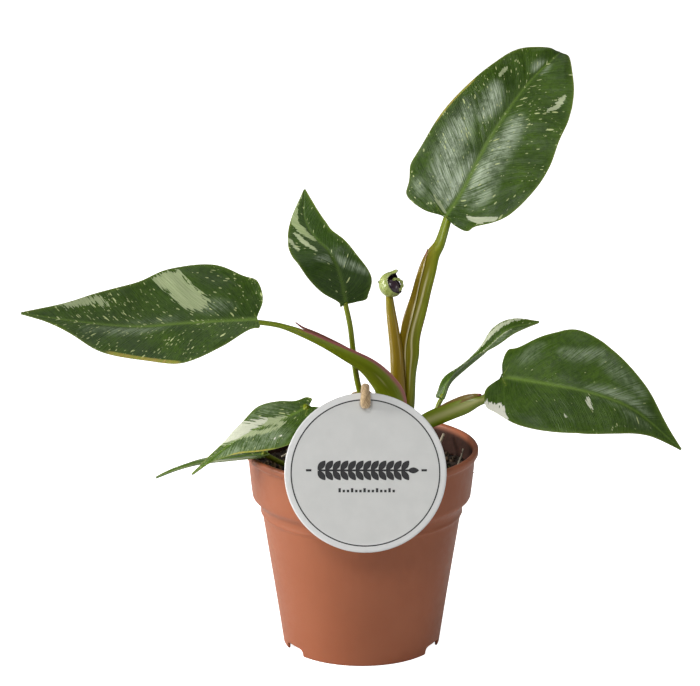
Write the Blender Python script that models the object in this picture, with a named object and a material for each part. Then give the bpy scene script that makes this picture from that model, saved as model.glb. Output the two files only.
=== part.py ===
"""Potted philodendron: a nursery pot of soil, a short crown with seven leaves on petioles, one
leaf still rolled, and a round plant tag held by a loop of twine.

Sizes below are in millimetres; points become metres as each mesh is written. +Z is up, the pot
stands on z = 0 with its axis on the origin, and the tag faces -Y.
"""

import math

import bmesh
import bpy
import numpy as np

for old in list(bpy.data.objects):
    bpy.data.objects.remove(old, do_unlink=True)

# Pot
POT_HEIGHT = 105.4
POT_RIM_RADIUS = 60.0
POT_FOOT_RADIUS = 40.6
POT_SHOULDER_HEIGHT = 75.5
POT_COLLAR_INSET = 3.8
POT_SHOULDER_STEP = 3.9
POT_WALL = 1.1
POT_LIP_HEIGHT = 3.9
POT_FLOOR_RISE = 4.0
POT_FLOOR = 1.2
POT_PAD_RADIUS = 11.0
FOOT_NOTCH_ANGLES = (-58.5, 64.5, 183.0)
FOOT_NOTCH_WIDTH = 15.5
DRAIN_RADIUS = 4.0
DRAIN_CIRCLE = 25.0

# Planting
SOIL_BELOW_RIM = 13.4
PLANT_SCALE = 1.0
CROWN_RADIUS = 9.0
CROWN_AT = (18.0, -8.0)
CROWN_TOP = 20.4
CROWN_DEPTH = 13.0
LEAF_THICKNESS = 0.8

# Tag and twine
TAG_RADIUS = 40.0
TAG_THICKNESS = 0.8
TAG_TOP_ABOVE_RIM = 43.6
TAG_LEAN = 0.12
TAG_ACROSS = 1.6
TAG_HOLE_RADIUS = 2.6
TAG_HOLE_BELOW_TOP = 5.2
TWINE_RADIUS = 2.0
TWINE_HOOK_HEIGHT = 43.0

# Clearances
GAP = 0.3
TWINE_GAP = 0.35

MM = 0.001
SOIL_TOP = POT_HEIGHT - SOIL_BELOW_RIM
POT_SIDES = 48

# A blade: its midrib from the petiole to the tip, which way its upper side faces along it, its
# half-widths at even steps from base to tip, how far each lobe reaches back past the petiole, and
# the angles in degrees its halves are folded up and curled per 30 mm. Heights are above the soil.
LEAVES = {
    "a": dict(
        midrib=[(42, 12, 131), (51, 18, 143), (62, 27, 163), (75, 36, 182), (87, 44, 196), (100, 52, 207),
                (103, 58, 208)],
        faces=[(-0.15, -1, 0.5), (-0.1, -1, 0.6), (0.1, -0.8, 0.9)],
        left=[24, 30, 29, 28, 25, 21, 15], right=[17, 28, 34, 35, 32, 29, 21],
        lobes=(3, 3), fold=8, curl=-8,
    ),
    "b": dict(
        midrib=[(-52, -38, 90), (-86, -42, 89), (-111, -45, 88), (-138, -48, 91), (-167, -50, 96)],
        faces=[(-0.1, -0.75, 1), (0, -0.75, 1)],
        left=[8, 19, 28, 24, 19, 6], right=[26, 34, 33, 26, 19, 9],
        lobes=(1, 4), fold=10, curl=-6,
    ),
    "c": dict(
        midrib=[(-8, -20, 93), (-11, -24, 109), (-16, -22, 120), (-24, -12, 126), (-29, -2, 134),
                (-29, 8, 146)],
        faces=[(0.2, -1, 0.3), (-0.2, -0.5, 0.8), (-0.3, -0.9, 0.5)],
        left=[4, 12, 17, 17, 12, 5], right=[12, 15, 11, 9, 9, 7],
        lobes=(0, 0), fold=10, curl=-8,
    ),
    "d": dict(
        midrib=[(71, -14, 54), (92, -24, 53), (114, -30, 50), (136, -34, 42), (160, -36, 22)],
        faces=[(0.1, -1, 0.7), (0.3, -1, 0.5)],
        left=[14, 26, 31, 25, 15, 6], right=[21, 25, 25, 22, 16, 6],
        lobes=(2, 6), fold=6, curl=-8,
    ),
    "e": dict(
        midrib=[(41, 17, 34), (45, 18, 43), (53, 20, 50), (64, 22, 58.5), (76, 24, 69), (92, 26, 72.5)],
        faces=[(-0.8, -0.45, 0.35), (-0.75, 0.16, 0.63), (-0.5, -0.45, 0.74), (-0.3, -0.6, 0.7)],
        left=[4, 6, 6, 5.5, 6.5, 4.5], right=[5, 7, 5.5, 6.5, 8, 5],
        lobes=(1, 1), fold=14, curl=-6,
    ),
    "f": dict(
        midrib=[(-27, -34, 44), (-37, -38, 40), (-56, -42, 33), (-68, -44, 25.5), (-85, -45, 12)],
        faces=[(-0.2, -0.5, 1), (-0.4, -0.5, 0.8)],
        left=[16, 20, 20, 16, 8, 2.5], right=[7, 12, 14, 8, 4, 2],
        lobes=(5, 4), fold=6, curl=-12,
    ),
    "g": dict(
        midrib=[(-48, -24, 16.5), (-64, -26, 15), (-80, -28, 13.4), (-92, -29, 10.4), (-104, -30, 5.6)],
        faces=[(-0.1, -0.08, 1), (-0.3, -0.08, 1)],
        left=[6, 8, 7, 4, 3, 2], right=[6, 7, 5, 3.5, 2.5, 2],
        lobes=(1, 1), fold=10, curl=-4,
    ),
}

# A petiole: its path from the crown (the last stretch, to the blade, is added from the blade), the
# half-width and half-depth of its section and how far the sheath's arms bend, at even steps, and
# the side the sheath opens to.
PETIOLES = {
    "a": dict(
        path=[(22.5, -1.5, 21.2), (24.2, -1.5, 38), (24.7, -1.5, 54), (25, -1, 62), (24.8, 0.5, 69.5),
              (26, 2, 77), (29.6, 4, 89.5), (32, 5, 99), (35.6, 7, 111), (39.6, 8.5, 118)],
        width=[3.2, 3.1, 3.1, 4.8, 5.6, 5.0, 4.6, 2.8, 2.2], depth=[3.2, 3, 2.8, 2.6, 2.5, 2.4, 2.3, 2.2, 2.2],
        bow=[0, 0, 0, 1, 1.5, 1.5, 1, 0, 0], opens=(-0.3, -1, 0.2),
    ),
    "b": dict(
        path=[(13.8, -15, 21.4), (14.2, -17.2, 34), (13.2, -18, 44.8), (9.1, -20, 52.7), (2, -24, 61.6),
              (-8.5, -27, 69), (-20.9, -30, 76.6), (-32.3, -33, 82.5), (-42, -34.5, 86)],
        width=[6, 8.2, 8.8, 7.6, 6.2, 4.2, 3, 1.4, 1.3], depth=[2, 1.9, 1.8, 1.8, 1.8, 1.7, 1.5, 1.3, 1.3],
        bow=[2, 3.5, 4, 3.5, 2.5, 1.5, 1, 0, 0], opens=(0.3, 0.8, 1),
    ),
    "c": dict(
        path=[(9, -6.5, 21.2), (4, -9, 30), (0.5, -11, 40), (-2, -13.5, 50), (-3.6, -15.5, 60),
              (-4.8, -17.5, 71.7), (-6, -19, 82)],
        width=[1.6, 1.5, 1.4, 1.3], depth=[1.6, 1.5, 1.4, 1.3], bow=[0], opens=(0, 1, 0),
    ),
    "d": dict(
        path=[(27, -9, 20.8), (29, -8.8, 25.5), (33.8, -9, 29.2), (44.8, -12, 35), (56.9, -13, 40.2),
              (62.5, -12, 41.8), (67.6, -11, 46)],
        width=[3.4, 4, 4.4, 4.4, 4.3, 2.4, 2.2, 2.1], depth=[3.2, 3, 2.8, 2.6, 2.5, 2.2, 2.2, 2.1],
        bow=[0, 0.6, 1, 1, 0.8, 0, 0, 0], opens=(0, -1, 0.4),
    ),
    "e": dict(
        path=[(25.2, -0.8, 12), (32, 6, 16), (37.6, 13, 23.5), (39.6, 16, 29.8)],
        width=[1.5, 1.4, 1.3, 1.2], depth=[1.5, 1.4, 1.3, 1.2], bow=[0], opens=(0, 1, 0),
    ),
    "f": dict(
        path=[(9.4, -14.5, 13), (0, -19, 20.5), (-10, -23.5, 28), (-20, -29, 37)],
        width=[2.4, 2.1, 1.9, 1.8], depth=[2.4, 2.1, 1.9, 1.8], bow=[0], opens=(0, 0, 1),
    ),
    "g": dict(
        path=[(8.8, -9.4, 9), (-10, -15, 5.4), (-26, -19, 5.6), (-37, -22, 9.2), (-44, -23.4, 12.8)],
        width=[1.5, 1.4, 1.4, 1.3], depth=[1.5, 1.4, 1.4, 1.3], bow=[0], opens=(0, 0, 1),
    ),
}

NEW_LEAF_STALK = [(17.6, -7.4, 21.1), (18.8, -8, 38), (18, -7.2, 55.4), (17.4, -5.2, 65.4),
                  (16.1, -3, 75.4), (14.8, -1, 84.3), (13.8, -0.2, 92.2)]
NEW_LEAF_STALK_RADII = [3.6, 3.5, 3.5, 3.4, 3.1, 2.6, 1.8]
SCROLL_CENTRE = (14.4, 0.0, 98.7)
SCROLL_OUTER, SCROLL_INNER = 6.6, 2.4
SCROLL_TURNS = 1.55

# Roots and stubs standing out of the soil: (x, y, height above the soil) and a radius.
SOIL_BITS = {
    "stub_left": ([(-48.2, -9, 0), (-48.4, -9.5, 7)], 1.0),
    "stub_middle": ([(-45.2, -10, 0), (-45, -10, 8.6)], 1.2),
    "stub_right": ([(-41.6, -14, 0), (-41.9, -14, 6.5)], 0.8),
    "aerial_root": ([(-16, 4, 0), (-24, -3, 9), (-33, -8.5, 12.6), (-41, -11.5, 10)], 0.7),
    "dry_root": ([(36, 18, 0), (41, 25, 6), (43.2, 29, 9.6)], 0.9),
    "fibre": ([(49, 4, 0), (51.4, 2, 6), (52.2, 0, 10.6)], 0.5),
}


def material(name, colour, roughness):
    made = bpy.data.materials.new(name)
    made.use_nodes = True
    surface = made.node_tree.nodes["Principled BSDF"]
    surface.inputs["Base Color"].default_value = (*colour, 1)
    surface.inputs["Roughness"].default_value = roughness
    return made


POT_PLASTIC = material("pot_plastic", (0.38, 0.15, 0.08), 0.5)
PEAT = material("peat", (0.03, 0.02, 0.012), 0.95)
LEAF = material("leaf", (0.05, 0.14, 0.04), 0.35)
PETIOLE = material("petiole", (0.16, 0.24, 0.04), 0.35)
NEW_LEAF = material("new_leaf", (0.35, 0.42, 0.12), 0.35)
ROOT = material("root", (0.35, 0.25, 0.12), 0.8)
TAG_CARD = material("tag_card", (0.7, 0.7, 0.68), 0.5)
TWINE = material("twine", (0.5, 0.36, 0.2), 0.9)


def add_solid(name, points, faces, surface, smooth=True):
    mesh = bpy.data.meshes.new(name)
    mesh.from_pydata([tuple(p) for p in np.asarray(points) * MM], [], [tuple(f) for f in faces])
    shape = bmesh.new()
    shape.from_mesh(mesh)
    bmesh.ops.recalc_face_normals(shape, faces=shape.faces)
    shape.to_mesh(mesh)
    shape.free()
    mesh.materials.append(surface)
    mesh.polygons.foreach_set("use_smooth", [smooth] * len(mesh.polygons))
    made = bpy.data.objects.new(name, mesh)
    bpy.context.scene.collection.objects.link(made)
    return made


def lathe(name, profile, surface, sides=POT_SIDES, height_at=None):
    """Turns a profile of (radius, z), from the axis at the bottom outwards, up and back to the axis."""
    rings = [p for p in profile if p[0] > 0]
    points, faces = [(0, 0, profile[0][1])], []
    for radius, z in rings:
        for k in range(sides):
            turn = 2 * math.pi * k / sides
            x, y = radius * math.cos(turn), radius * math.sin(turn)
            points.append((x, y, height_at(x, y, z) if height_at else z))
    for i in range(len(rings) - 1):
        for k in range(sides):
            a, b = 1 + i * sides + k, 1 + i * sides + (k + 1) % sides
            faces.append((a, b, b + sides, a + sides))
    z = profile[-1][1]
    points.append((0, 0, height_at(0, 0, z) if height_at else z))
    top = 1 + (len(rings) - 1) * sides
    for k in range(sides):
        faces.append((0, 1 + (k + 1) % sides, 1 + k))
        faces.append((top + k, top + (k + 1) % sides, len(points) - 1))
    return add_solid(name, points, faces, surface)


def cut(target, name, points, faces):
    """Takes a closed shape away from the target."""
    cutter = add_solid(name, points, faces, target.data.materials[0], smooth=False)
    cutter.hide_render = True
    cutter.display_type = "WIRE"
    boolean = target.modifiers.new(name, "BOOLEAN")
    boolean.operation, boolean.solver, boolean.object = "DIFFERENCE", "EXACT", cutter


def prism(outline, bottom, top):
    """A closed prism from an outline of (x, y) that goes round anticlockwise."""
    n = len(outline)
    points = [(x, y, z) for z in (bottom, top) for x, y in outline]
    faces = [tuple(range(n))[::-1], tuple(range(n, 2 * n))]
    faces += [(k, (k + 1) % n, n + (k + 1) % n, n + k) for k in range(n)]
    return points, faces


def shell_faces(rows, columns):
    """Faces of a closed sheet: two grids of points, the upper one first, joined round their borders."""
    under, faces = rows * columns, []
    for i in range(rows - 1):
        for j in range(columns - 1):
            a = i * columns + j
            b, c, d = a + 1, a + columns + 1, a + columns
            faces += [(a, d, c, b), (under + a, under + b, under + c, under + d)]
    border = [*range(columns), *(i * columns + columns - 1 for i in range(1, rows))]
    border += [(rows - 1) * columns + j for j in range(columns - 2, -1, -1)]
    border += [i * columns for i in range(rows - 2, 0, -1)]
    return faces + [(a, b, under + b, under + a) for a, b in zip(border, border[1:] + border[:1])]


def circle(x, y, radius, sides):
    turns = [2 * math.pi * k / sides for k in range(sides)]
    return [(x + radius * math.cos(turn), y + radius * math.sin(turn)) for turn in turns]


def smooth_curve(points, count):
    """Evenly spaced points on a Catmull-Rom curve through the points given, and its length."""
    p = np.array(points, float)
    p = np.vstack([2 * p[0] - p[1], p, 2 * p[-1] - p[-2]])
    t = np.linspace(0, 1, 30, endpoint=False)[:, None]
    pieces = [
        0.5 * (2 * b + (c - a) * t + (2 * a - 5 * b + 4 * c - d) * t**2 + (3 * b - a - 3 * c + d) * t**3)
        for a, b, c, d in zip(p, p[1:], p[2:], p[3:])
    ]
    fine = np.vstack([*pieces, p[-2][None]])
    run = np.concatenate([[0], np.cumsum(np.linalg.norm(np.diff(fine, axis=0), axis=1))])
    even = np.linspace(0, run[-1], count)
    return np.stack([np.interp(even, run, fine[:, k]) for k in range(fine.shape[1])], 1), run[-1]


def along(values, t):
    """Evenly spaced values as a smooth function of t from 0 to 1."""
    v = np.array(values, float)
    if len(v) == 1:
        return np.full_like(t, v[0])
    v = np.concatenate([[2 * v[0] - v[1]], v, [2 * v[-1] - v[-2]]])
    x = np.clip(t, 0, 1) * (len(v) - 3)
    i = np.clip(np.floor(x).astype(int), 0, len(v) - 4)
    f = x - i
    a, b, c, d = v[i], v[i + 1], v[i + 2], v[i + 3]
    return 0.5 * (2 * b + (c - a) * f + (2 * a - 5 * b + 4 * c - d) * f**2 + (3 * b - a - 3 * c + d) * f**3)


def unit(vectors):
    return vectors / np.linalg.norm(vectors, axis=-1, keepdims=True)


def planted(points):
    """Plant points, given as x, y and height above the soil, at the plant's own scale in the pot."""
    return np.array(points, float) * PLANT_SCALE + (0, 0, SOIL_TOP)


def soil_surface(x, y):
    return SOIL_TOP + 0.4 * math.sin(0.2 * x + 1.2) * math.cos(0.17 * y) + 0.3 * math.sin(0.22 * y - 0.3 * x)


# Pot: one turned shell on a ring foot with three notches, a raised floor with drain holes and a
# centre pad that stands level with the ring.
rim, foot, shoulder = POT_RIM_RADIUS, POT_FOOT_RADIUS, POT_SHOULDER_HEIGHT
under_lip = POT_HEIGHT - POT_LIP_HEIGHT
collar = rim - POT_COLLAR_INSET
waist = collar - POT_SHOULDER_STEP
floor_top = POT_FLOOR_RISE + POT_FLOOR
pot_profile = [
    (0, 0), (POT_PAD_RADIUS, 0), (POT_PAD_RADIUS, POT_FLOOR_RISE), (foot - POT_WALL, POT_FLOOR_RISE),
    (foot - POT_WALL, 0), (foot, 0), (waist - 0.7, shoulder - 4.6), (waist - 0.35, shoulder - 3.9),
    (waist - 0.45, shoulder - 3.2), (waist, shoulder), (collar, shoulder + 4.5),
    (rim - 2.4, under_lip - 0.6), (rim - 0.6, under_lip), (rim, under_lip + 0.8), (rim, POT_HEIGHT - 0.9),
    (rim - 0.6, POT_HEIGHT - 0.1), (rim - 1.6, POT_HEIGHT), (rim - 2.6, POT_HEIGHT - 0.5),
    (rim - 3.1, POT_HEIGHT - 1.6), (rim - 3.6, under_lip - 0.6), (collar - POT_WALL, shoulder + 5),
    (waist - POT_WALL, shoulder + 0.4), (foot - POT_WALL + 1.0, floor_top), (0, floor_top),
]
pot = lathe("nursery_pot", pot_profile, POT_PLASTIC)
for number, angle in enumerate(FOOT_NOTCH_ANGLES, 1):
    turn = math.radians(angle - 90)
    out, side = (math.cos(turn), math.sin(turn)), (-math.sin(turn), math.cos(turn))
    corners = [(foot - 4, -0.5), (foot + 6, -0.5), (foot + 6, 0.5), (foot - 4, 0.5)]
    outline = [
        (r * out[0] + w * FOOT_NOTCH_WIDTH * side[0], r * out[1] + w * FOOT_NOTCH_WIDTH * side[1])
        for r, w in corners
    ]
    cut(pot, f"notch_cutter_{number}", *prism(outline, -2, POT_FLOOR_RISE - 0.2))
for number in range(3):
    turn = 2 * math.pi * (number / 3 + 0.262)
    hole = circle(DRAIN_CIRCLE * math.cos(turn), DRAIN_CIRCLE * math.sin(turn), DRAIN_RADIUS, 20)
    cut(pot, f"drain_cutter_{number + 1}", *prism(hole, POT_FLOOR_RISE - 1, floor_top + 1))

# Soil: a plug that fills the pot to a little under the rim, with a socket for the crown.
soil_floor = floor_top + GAP
wall_slope = (waist - foot - 1.0) / (shoulder + 0.4 - floor_top)
soil_foot = foot - POT_WALL + 1.0 + wall_slope * GAP - GAP
soil_waist = waist - POT_WALL - GAP
soil_collar = collar - POT_WALL - GAP
soil_rim = np.interp(SOIL_TOP + 1, [shoulder + 5, under_lip - 0.6], [soil_collar, rim - 3.6 - GAP])
soil_profile = [
    (0, soil_floor), (soil_foot, soil_floor), (soil_waist, shoulder + 0.8), (soil_collar, shoulder + 5.9),
    (soil_rim - 0.2, SOIL_TOP - 2),
]
soil_profile += [(soil_rim * k / 9, SOIL_TOP) for k in (8.9, 8, 7, 6, 5, 4, 3, 2, 1)] + [(0, SOIL_TOP)]
soil = lathe(
    "potting_soil", soil_profile, PEAT, sides=40,
    height_at=lambda x, y, z: soil_surface(x, y) if z == SOIL_TOP else z,
)
crown_x, crown_y = (PLANT_SCALE * v for v in CROWN_AT)
crown_radius = PLANT_SCALE * CROWN_RADIUS
crown_foot = SOIL_TOP - CROWN_DEPTH
socket = prism(circle(crown_x, crown_y, crown_radius + GAP, 32), crown_foot - GAP, SOIL_TOP + 10)
cut(soil, "socket_cutter", *socket)


def stalk(name, path, width, depth, bow, opens, surface, rings, sides=12):
    """A closed sweep: an oval section of the half-width and half-depth, its arms bent by the bow."""
    centre, _ = smooth_curve(path, rings)
    t = np.linspace(0, 1, rings)
    a, b, bend = (PLANT_SCALE * along(v, t)[:, None] for v in (width, depth, bow))
    tangent = unit(np.gradient(centre, axis=0))
    front = np.array(opens, float) * np.ones((rings, 1))
    front = unit(front - (front * tangent).sum(1, keepdims=True) * tangent)
    side = np.cross(tangent, front)
    turn = np.linspace(0, 2 * math.pi, sides, endpoint=False)[None, :]
    x, y = a * np.cos(turn), b * np.sin(turn) + bend * (np.cos(turn) ** 2 - 0.4)
    grid = centre[:, None] + x[..., None] * side[:, None] + y[..., None] * front[:, None]
    points = [*grid.reshape(-1, 3), centre[0] - 0.4 * bend[0] * front[0], centre[-1]]
    faces = []
    for k in range(sides):
        n = (k + 1) % sides
        for i in range(rings - 1):
            faces.append((i * sides + k, i * sides + n, (i + 1) * sides + n, (i + 1) * sides + k))
        faces += [(len(points) - 2, n, k), (len(points) - 1, (rings - 1) * sides + k, (rings - 1) * sides + n)]
    return add_solid(name, points, faces, surface)


# Crown: the short stem that the petioles leave, set in the soil's socket.
crown_levels = [crown_foot, SOIL_TOP - 4, SOIL_TOP + 6, SOIL_TOP + 13, SOIL_TOP + CROWN_TOP * PLANT_SCALE]
crown_radii = [0.8 * CROWN_RADIUS, CROWN_RADIUS, 0.93 * CROWN_RADIUS, CROWN_RADIUS, 0.97 * CROWN_RADIUS]
stalk(
    "crown_stem", [(crown_x, crown_y, z) for z in crown_levels],
    crown_radii, crown_radii, [0], (0, -1, 0), PETIOLE, rings=10, sides=20,
)


class Blade:
    """The upper side of a leaf as a function of millimetres along and across it."""

    def __init__(self, leaf):
        self.leaf = leaf
        self.line, self.length = smooth_curve(planted(leaf["midrib"]), 200)
        self.steps = np.linspace(0, 1, 200)
        self.tangent = unit(np.gradient(self.line, axis=0))
        face = np.stack([along([f[k] for f in leaf["faces"]], self.steps) for k in range(3)], 1)
        self.face = unit(face - (face * self.tangent).sum(1, keepdims=True) * self.tangent)
        self.right = np.cross(self.tangent, self.face)

    def frame(self, t):
        t = np.clip(t, 0, 1)
        return [
            np.stack([np.interp(t, self.steps, table[:, k]) for k in range(3)], -1)
            for table in (self.line, self.tangent, self.face, self.right)
        ]

    def point(self, length, across):
        t = length / self.length
        centre, tangent, face, right = self.frame(t)
        centre = centre + (np.minimum(t, 0) + np.maximum(t - 1, 0))[..., None] * self.length * tangent
        x = np.abs(across)
        fold = math.radians(self.leaf["fold"])
        angle = np.radians(self.leaf["curl"]) * x / 30 / PLANT_SCALE - 1e-6
        out = x * (np.sin(fold + angle) - math.sin(fold)) / angle
        up = x * (math.cos(fold) - np.cos(fold + angle)) / angle
        return centre + (np.sign(across) * out)[..., None] * right + up[..., None] * face

    def edge(self, side, count):
        """The outline from the petiole round a lobe to the tip, as lengths along and across."""
        widths = PLANT_SCALE * np.array(self.leaf["left" if side < 0 else "right"], float)
        lobe = PLANT_SCALE * self.leaf["lobes"][side > 0]
        stations = self.length * np.arange(len(widths)) / len(widths)
        stations[0] = 0.04 * self.length
        corner = [(0, 0.5), (-lobe, 0.42 * widths[0]), (-0.55 * lobe, 0.85 * widths[0])]
        outline, _ = smooth_curve([*corner, *zip(stations, widths), (self.length, 0.4)], count)
        return outline[:, 0], side * outline[:, 1]

    def grid(self, rows, half):
        """Points of the upper side: each row runs from the left edge over the midrib to the right."""
        mid = self.length * np.linspace(0, 1, rows) ** 1.5
        v = np.linspace(0, 1, half + 1)[None, :]
        halves = []
        for side in (-1, 1):
            length, across = self.edge(side, rows)
            halves.append(self.point(mid[:, None] + (length - mid)[:, None] * v**1.25, across[:, None] * v))
        return np.concatenate([halves[0][:, :0:-1], halves[1]], 1)


def add_blade(name, blade, rows=17, half=4):
    middle = blade.grid(rows, half)
    normal = unit(np.cross(np.gradient(middle, axis=0), np.gradient(middle, axis=1)))
    shift = normal * LEAF_THICKNESS / 2
    points = [*(middle + shift).reshape(-1, 3), *(middle - shift).reshape(-1, 3)]
    return add_solid(name, points, shell_faces(*middle.shape[:2]), LEAF)


# Leaves: each petiole runs up to just under the base of its blade.
for key, leaf in LEAVES.items():
    blade = Blade(leaf)
    add_blade(f"blade_{key}", blade)
    petiole = PETIOLES[key]
    joint, tangent, face, _ = (v[0] for v in blade.frame(np.zeros(1)))
    thick = petiole["width"][0] > 2
    under = PLANT_SCALE * petiole["depth"][-1] + LEAF_THICKNESS / 2 + GAP + (0.1 if thick else 0.5)
    path = [*planted(petiole["path"]), joint - face * under + tangent * (2 if thick else 1)]
    stalk(
        f"petiole_{key}", path, petiole["width"], petiole["depth"], petiole["bow"], petiole["opens"], PETIOLE,
        rings=22 if thick else 14, sides=14 if thick else 10,
    )

# The new leaf: a tapering stalk, and the rolled blade above it, a spiral shell that narrows to a
# point at its outer end.
stalk(
    "new_leaf_stalk", planted(NEW_LEAF_STALK), NEW_LEAF_STALK_RADII, NEW_LEAF_STALK_RADII, [0], (0, -1, 0),
    PETIOLE, rings=14, sides=14,
)
rows, columns = 34, 7
turned = np.linspace(0, 1, rows)[:, None]
angle = math.radians(62) + turned * 2 * math.pi * SCROLL_TURNS
radius = SCROLL_OUTER + (SCROLL_INNER - SCROLL_OUTER) * turned**1.5
breadth = np.radians(8 + 50 * np.clip(turned * 5, 0, 1)) * np.linspace(-1, 1, columns)[None, :]
shell = np.stack(
    [radius * np.cos(angle) * np.cos(breadth), radius * np.sin(breadth), radius * np.sin(angle) * np.cos(breadth)],
    -1,
)
outward = unit(shell)
centre = planted([SCROLL_CENTRE])[0]
shells = [centre + PLANT_SCALE * shell + outward * side * LEAF_THICKNESS / 2 for side in (1, -1)]
points = [*shells[0].reshape(-1, 3), *shells[1].reshape(-1, 3)]
add_solid("new_leaf_scroll", points, shell_faces(rows, columns), NEW_LEAF)

# Roots and stubs stand just clear of the soil.
for name, (path, size) in SOIL_BITS.items():
    (x, y, _), (next_x, next_y, rise) = path[:2]
    slope = math.hypot(next_x - x, next_y - y) / rise
    lift = soil_surface(x * PLANT_SCALE, y * PLANT_SCALE) + GAP + 0.2 + size * slope - SOIL_TOP
    raised = planted(path) + (0, 0, lift)
    stalk(name, raised, [size, 0.8 * size], [size, 0.8 * size], [0], (0.3, -1, 0.2), ROOT, rings=7, sides=8)

# Tag: a thin round card that leans back on the pot's rim, with one hole for the twine.
lean = unit(np.array([0, -1, TAG_LEAN]))
up = unit(np.array([0, TAG_LEAN, 1]))
tag_top = POT_HEIGHT + TAG_TOP_ABOVE_RIM
tag_centre_z = tag_top - TAG_RADIUS * up[2]
card_half = TAG_THICKNESS / 2
tag_y = -rim - GAP - card_half / -lean[1] + TAG_LEAN * (tag_centre_z - POT_HEIGHT + 0.5) - 0.1
tag_centre = np.array([TAG_ACROSS, tag_y, tag_centre_z])


def on_tag(across, height, out=0.0):
    """A point on the tag's middle plane, from its centre, moved out of the plane."""
    return tag_centre + np.array([across, 0, 0]) + height * up + out * lean


def tag_face(outline, out):
    return [on_tag(x, y, out) for x, y in outline]


tag_sides = 72
disc = circle(0, 0, TAG_RADIUS, tag_sides)
hole_height = TAG_RADIUS - TAG_HOLE_BELOW_TOP
hole = circle(0, hole_height, TAG_HOLE_RADIUS, tag_sides // 3)


def drum(outline, front, back):
    n = len(outline)
    points = tag_face(outline, back) + tag_face(outline, front)
    faces = [tuple(range(n))[::-1], tuple(range(n, 2 * n))]
    faces += [(k, (k + 1) % n, n + (k + 1) % n, n + k) for k in range(n)]
    return points, faces


tag = add_solid("plant_tag", *drum(disc, card_half, -card_half), TAG_CARD, smooth=False)
cut(tag, "tag_hole_cutter", *drum(hole, 2, -2))

# Twine: one closed loop through the tag's hole, over its top edge and round the petiole of leaf c.
hook_path = smooth_curve(planted(PETIOLES["c"]["path"]), 60)[0]
hook = hook_path[np.argmin(np.abs(hook_path[:, 2] - SOIL_TOP - TWINE_HOOK_HEIGHT * PLANT_SCALE))]
reach = TWINE_RADIUS + PLANT_SCALE * 1.5 + TWINE_GAP
clear = card_half + TWINE_RADIUS + TWINE_GAP
over = on_tag(0, TAG_RADIUS + TWINE_RADIUS + TWINE_GAP + 0.4, 0.4)
through = on_tag(0, hole_height, 0)
loop = [
    on_tag(0, hole_height + 0.4, clear + 0.6), on_tag(0, hole_height + 3.6, clear + 0.9), over,
    on_tag(-0.2, TAG_RADIUS - 0.4, -5.6), hook + (reach + 1.2, -12, 1.6), hook + (reach, -2.6, 0.8),
    hook + (0.9 * reach, 2.2, 0.4), hook + (0, reach, 0), hook + (-0.9 * reach, 2.2, -0.4),
    hook + (-reach, -2.6, -1), hook + (-reach + 2.4, -12, -2), on_tag(-1.2, hole_height - 0.6, -10),
    on_tag(0, hole_height, -3), through,
]
closed_path = smooth_curve(loop[-3:] + loop + loop[:3], 400)[0]
from_start = np.linalg.norm(closed_path - loop[0], axis=1)
closed_path = closed_path[np.argmin(from_start[:200]) : 200 + np.argmin(from_start[200:])]
run = np.concatenate([[0], np.cumsum(np.linalg.norm(np.diff(closed_path, axis=0), axis=1))])
rings, sides = 48, 8
even = np.linspace(0, run[-1], rings, endpoint=False)
centre = np.stack([np.interp(even, run, closed_path[:, k]) for k in range(3)], 1)
tangent = unit(np.roll(centre, -1, 0) - np.roll(centre, 1, 0))
# Each ring's frame is carried on from the last one.
across = np.array([1.0, 0.25, 0.1])
normals = [unit(across - (across @ tangent[0]) * tangent[0])]
for k in range(1, rings):
    previous = normals[-1]
    normals.append(unit(previous - (previous @ tangent[k]) * tangent[k]))
normals = np.array(normals)
# Spread the leftover turn evenly, so the last ring meets the first.
back = unit(normals[-1] - (normals[-1] @ tangent[0]) * tangent[0])
leftover = math.atan2(np.cross(back, normals[0]) @ tangent[0], back @ normals[0])
twist = np.linspace(0, 1, rings, endpoint=False)[:, None] * leftover
binormal = np.cross(tangent, normals)
normals, binormal = (
    normals * np.cos(twist) + binormal * np.sin(twist), binormal * np.cos(twist) - normals * np.sin(twist)
)
turn = np.linspace(0, 2 * math.pi, sides, endpoint=False)
grid = centre[:, None] + TWINE_RADIUS * (
    np.cos(turn)[None, :, None] * normals[:, None] + np.sin(turn)[None, :, None] * binormal[:, None]
)
faces = []
for i in range(rings):
    here, ahead = i * sides, (i + 1) % rings * sides
    faces += [(here + k, here + (k + 1) % sides, ahead + (k + 1) % sides, ahead + k) for k in range(sides)]
add_solid("twine_loop", grid.reshape(-1, 3), faces, TWINE)
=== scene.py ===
"""Potted philodendron: seven leaves and one still rolled, in a terracotta-coloured nursery pot with
a round tag on a loop of twine. Every surface is worked out in millimetres and put into its mesh in
metres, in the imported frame: +Z up the pot's axis, the tag towards -Y.
"""

import math

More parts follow.
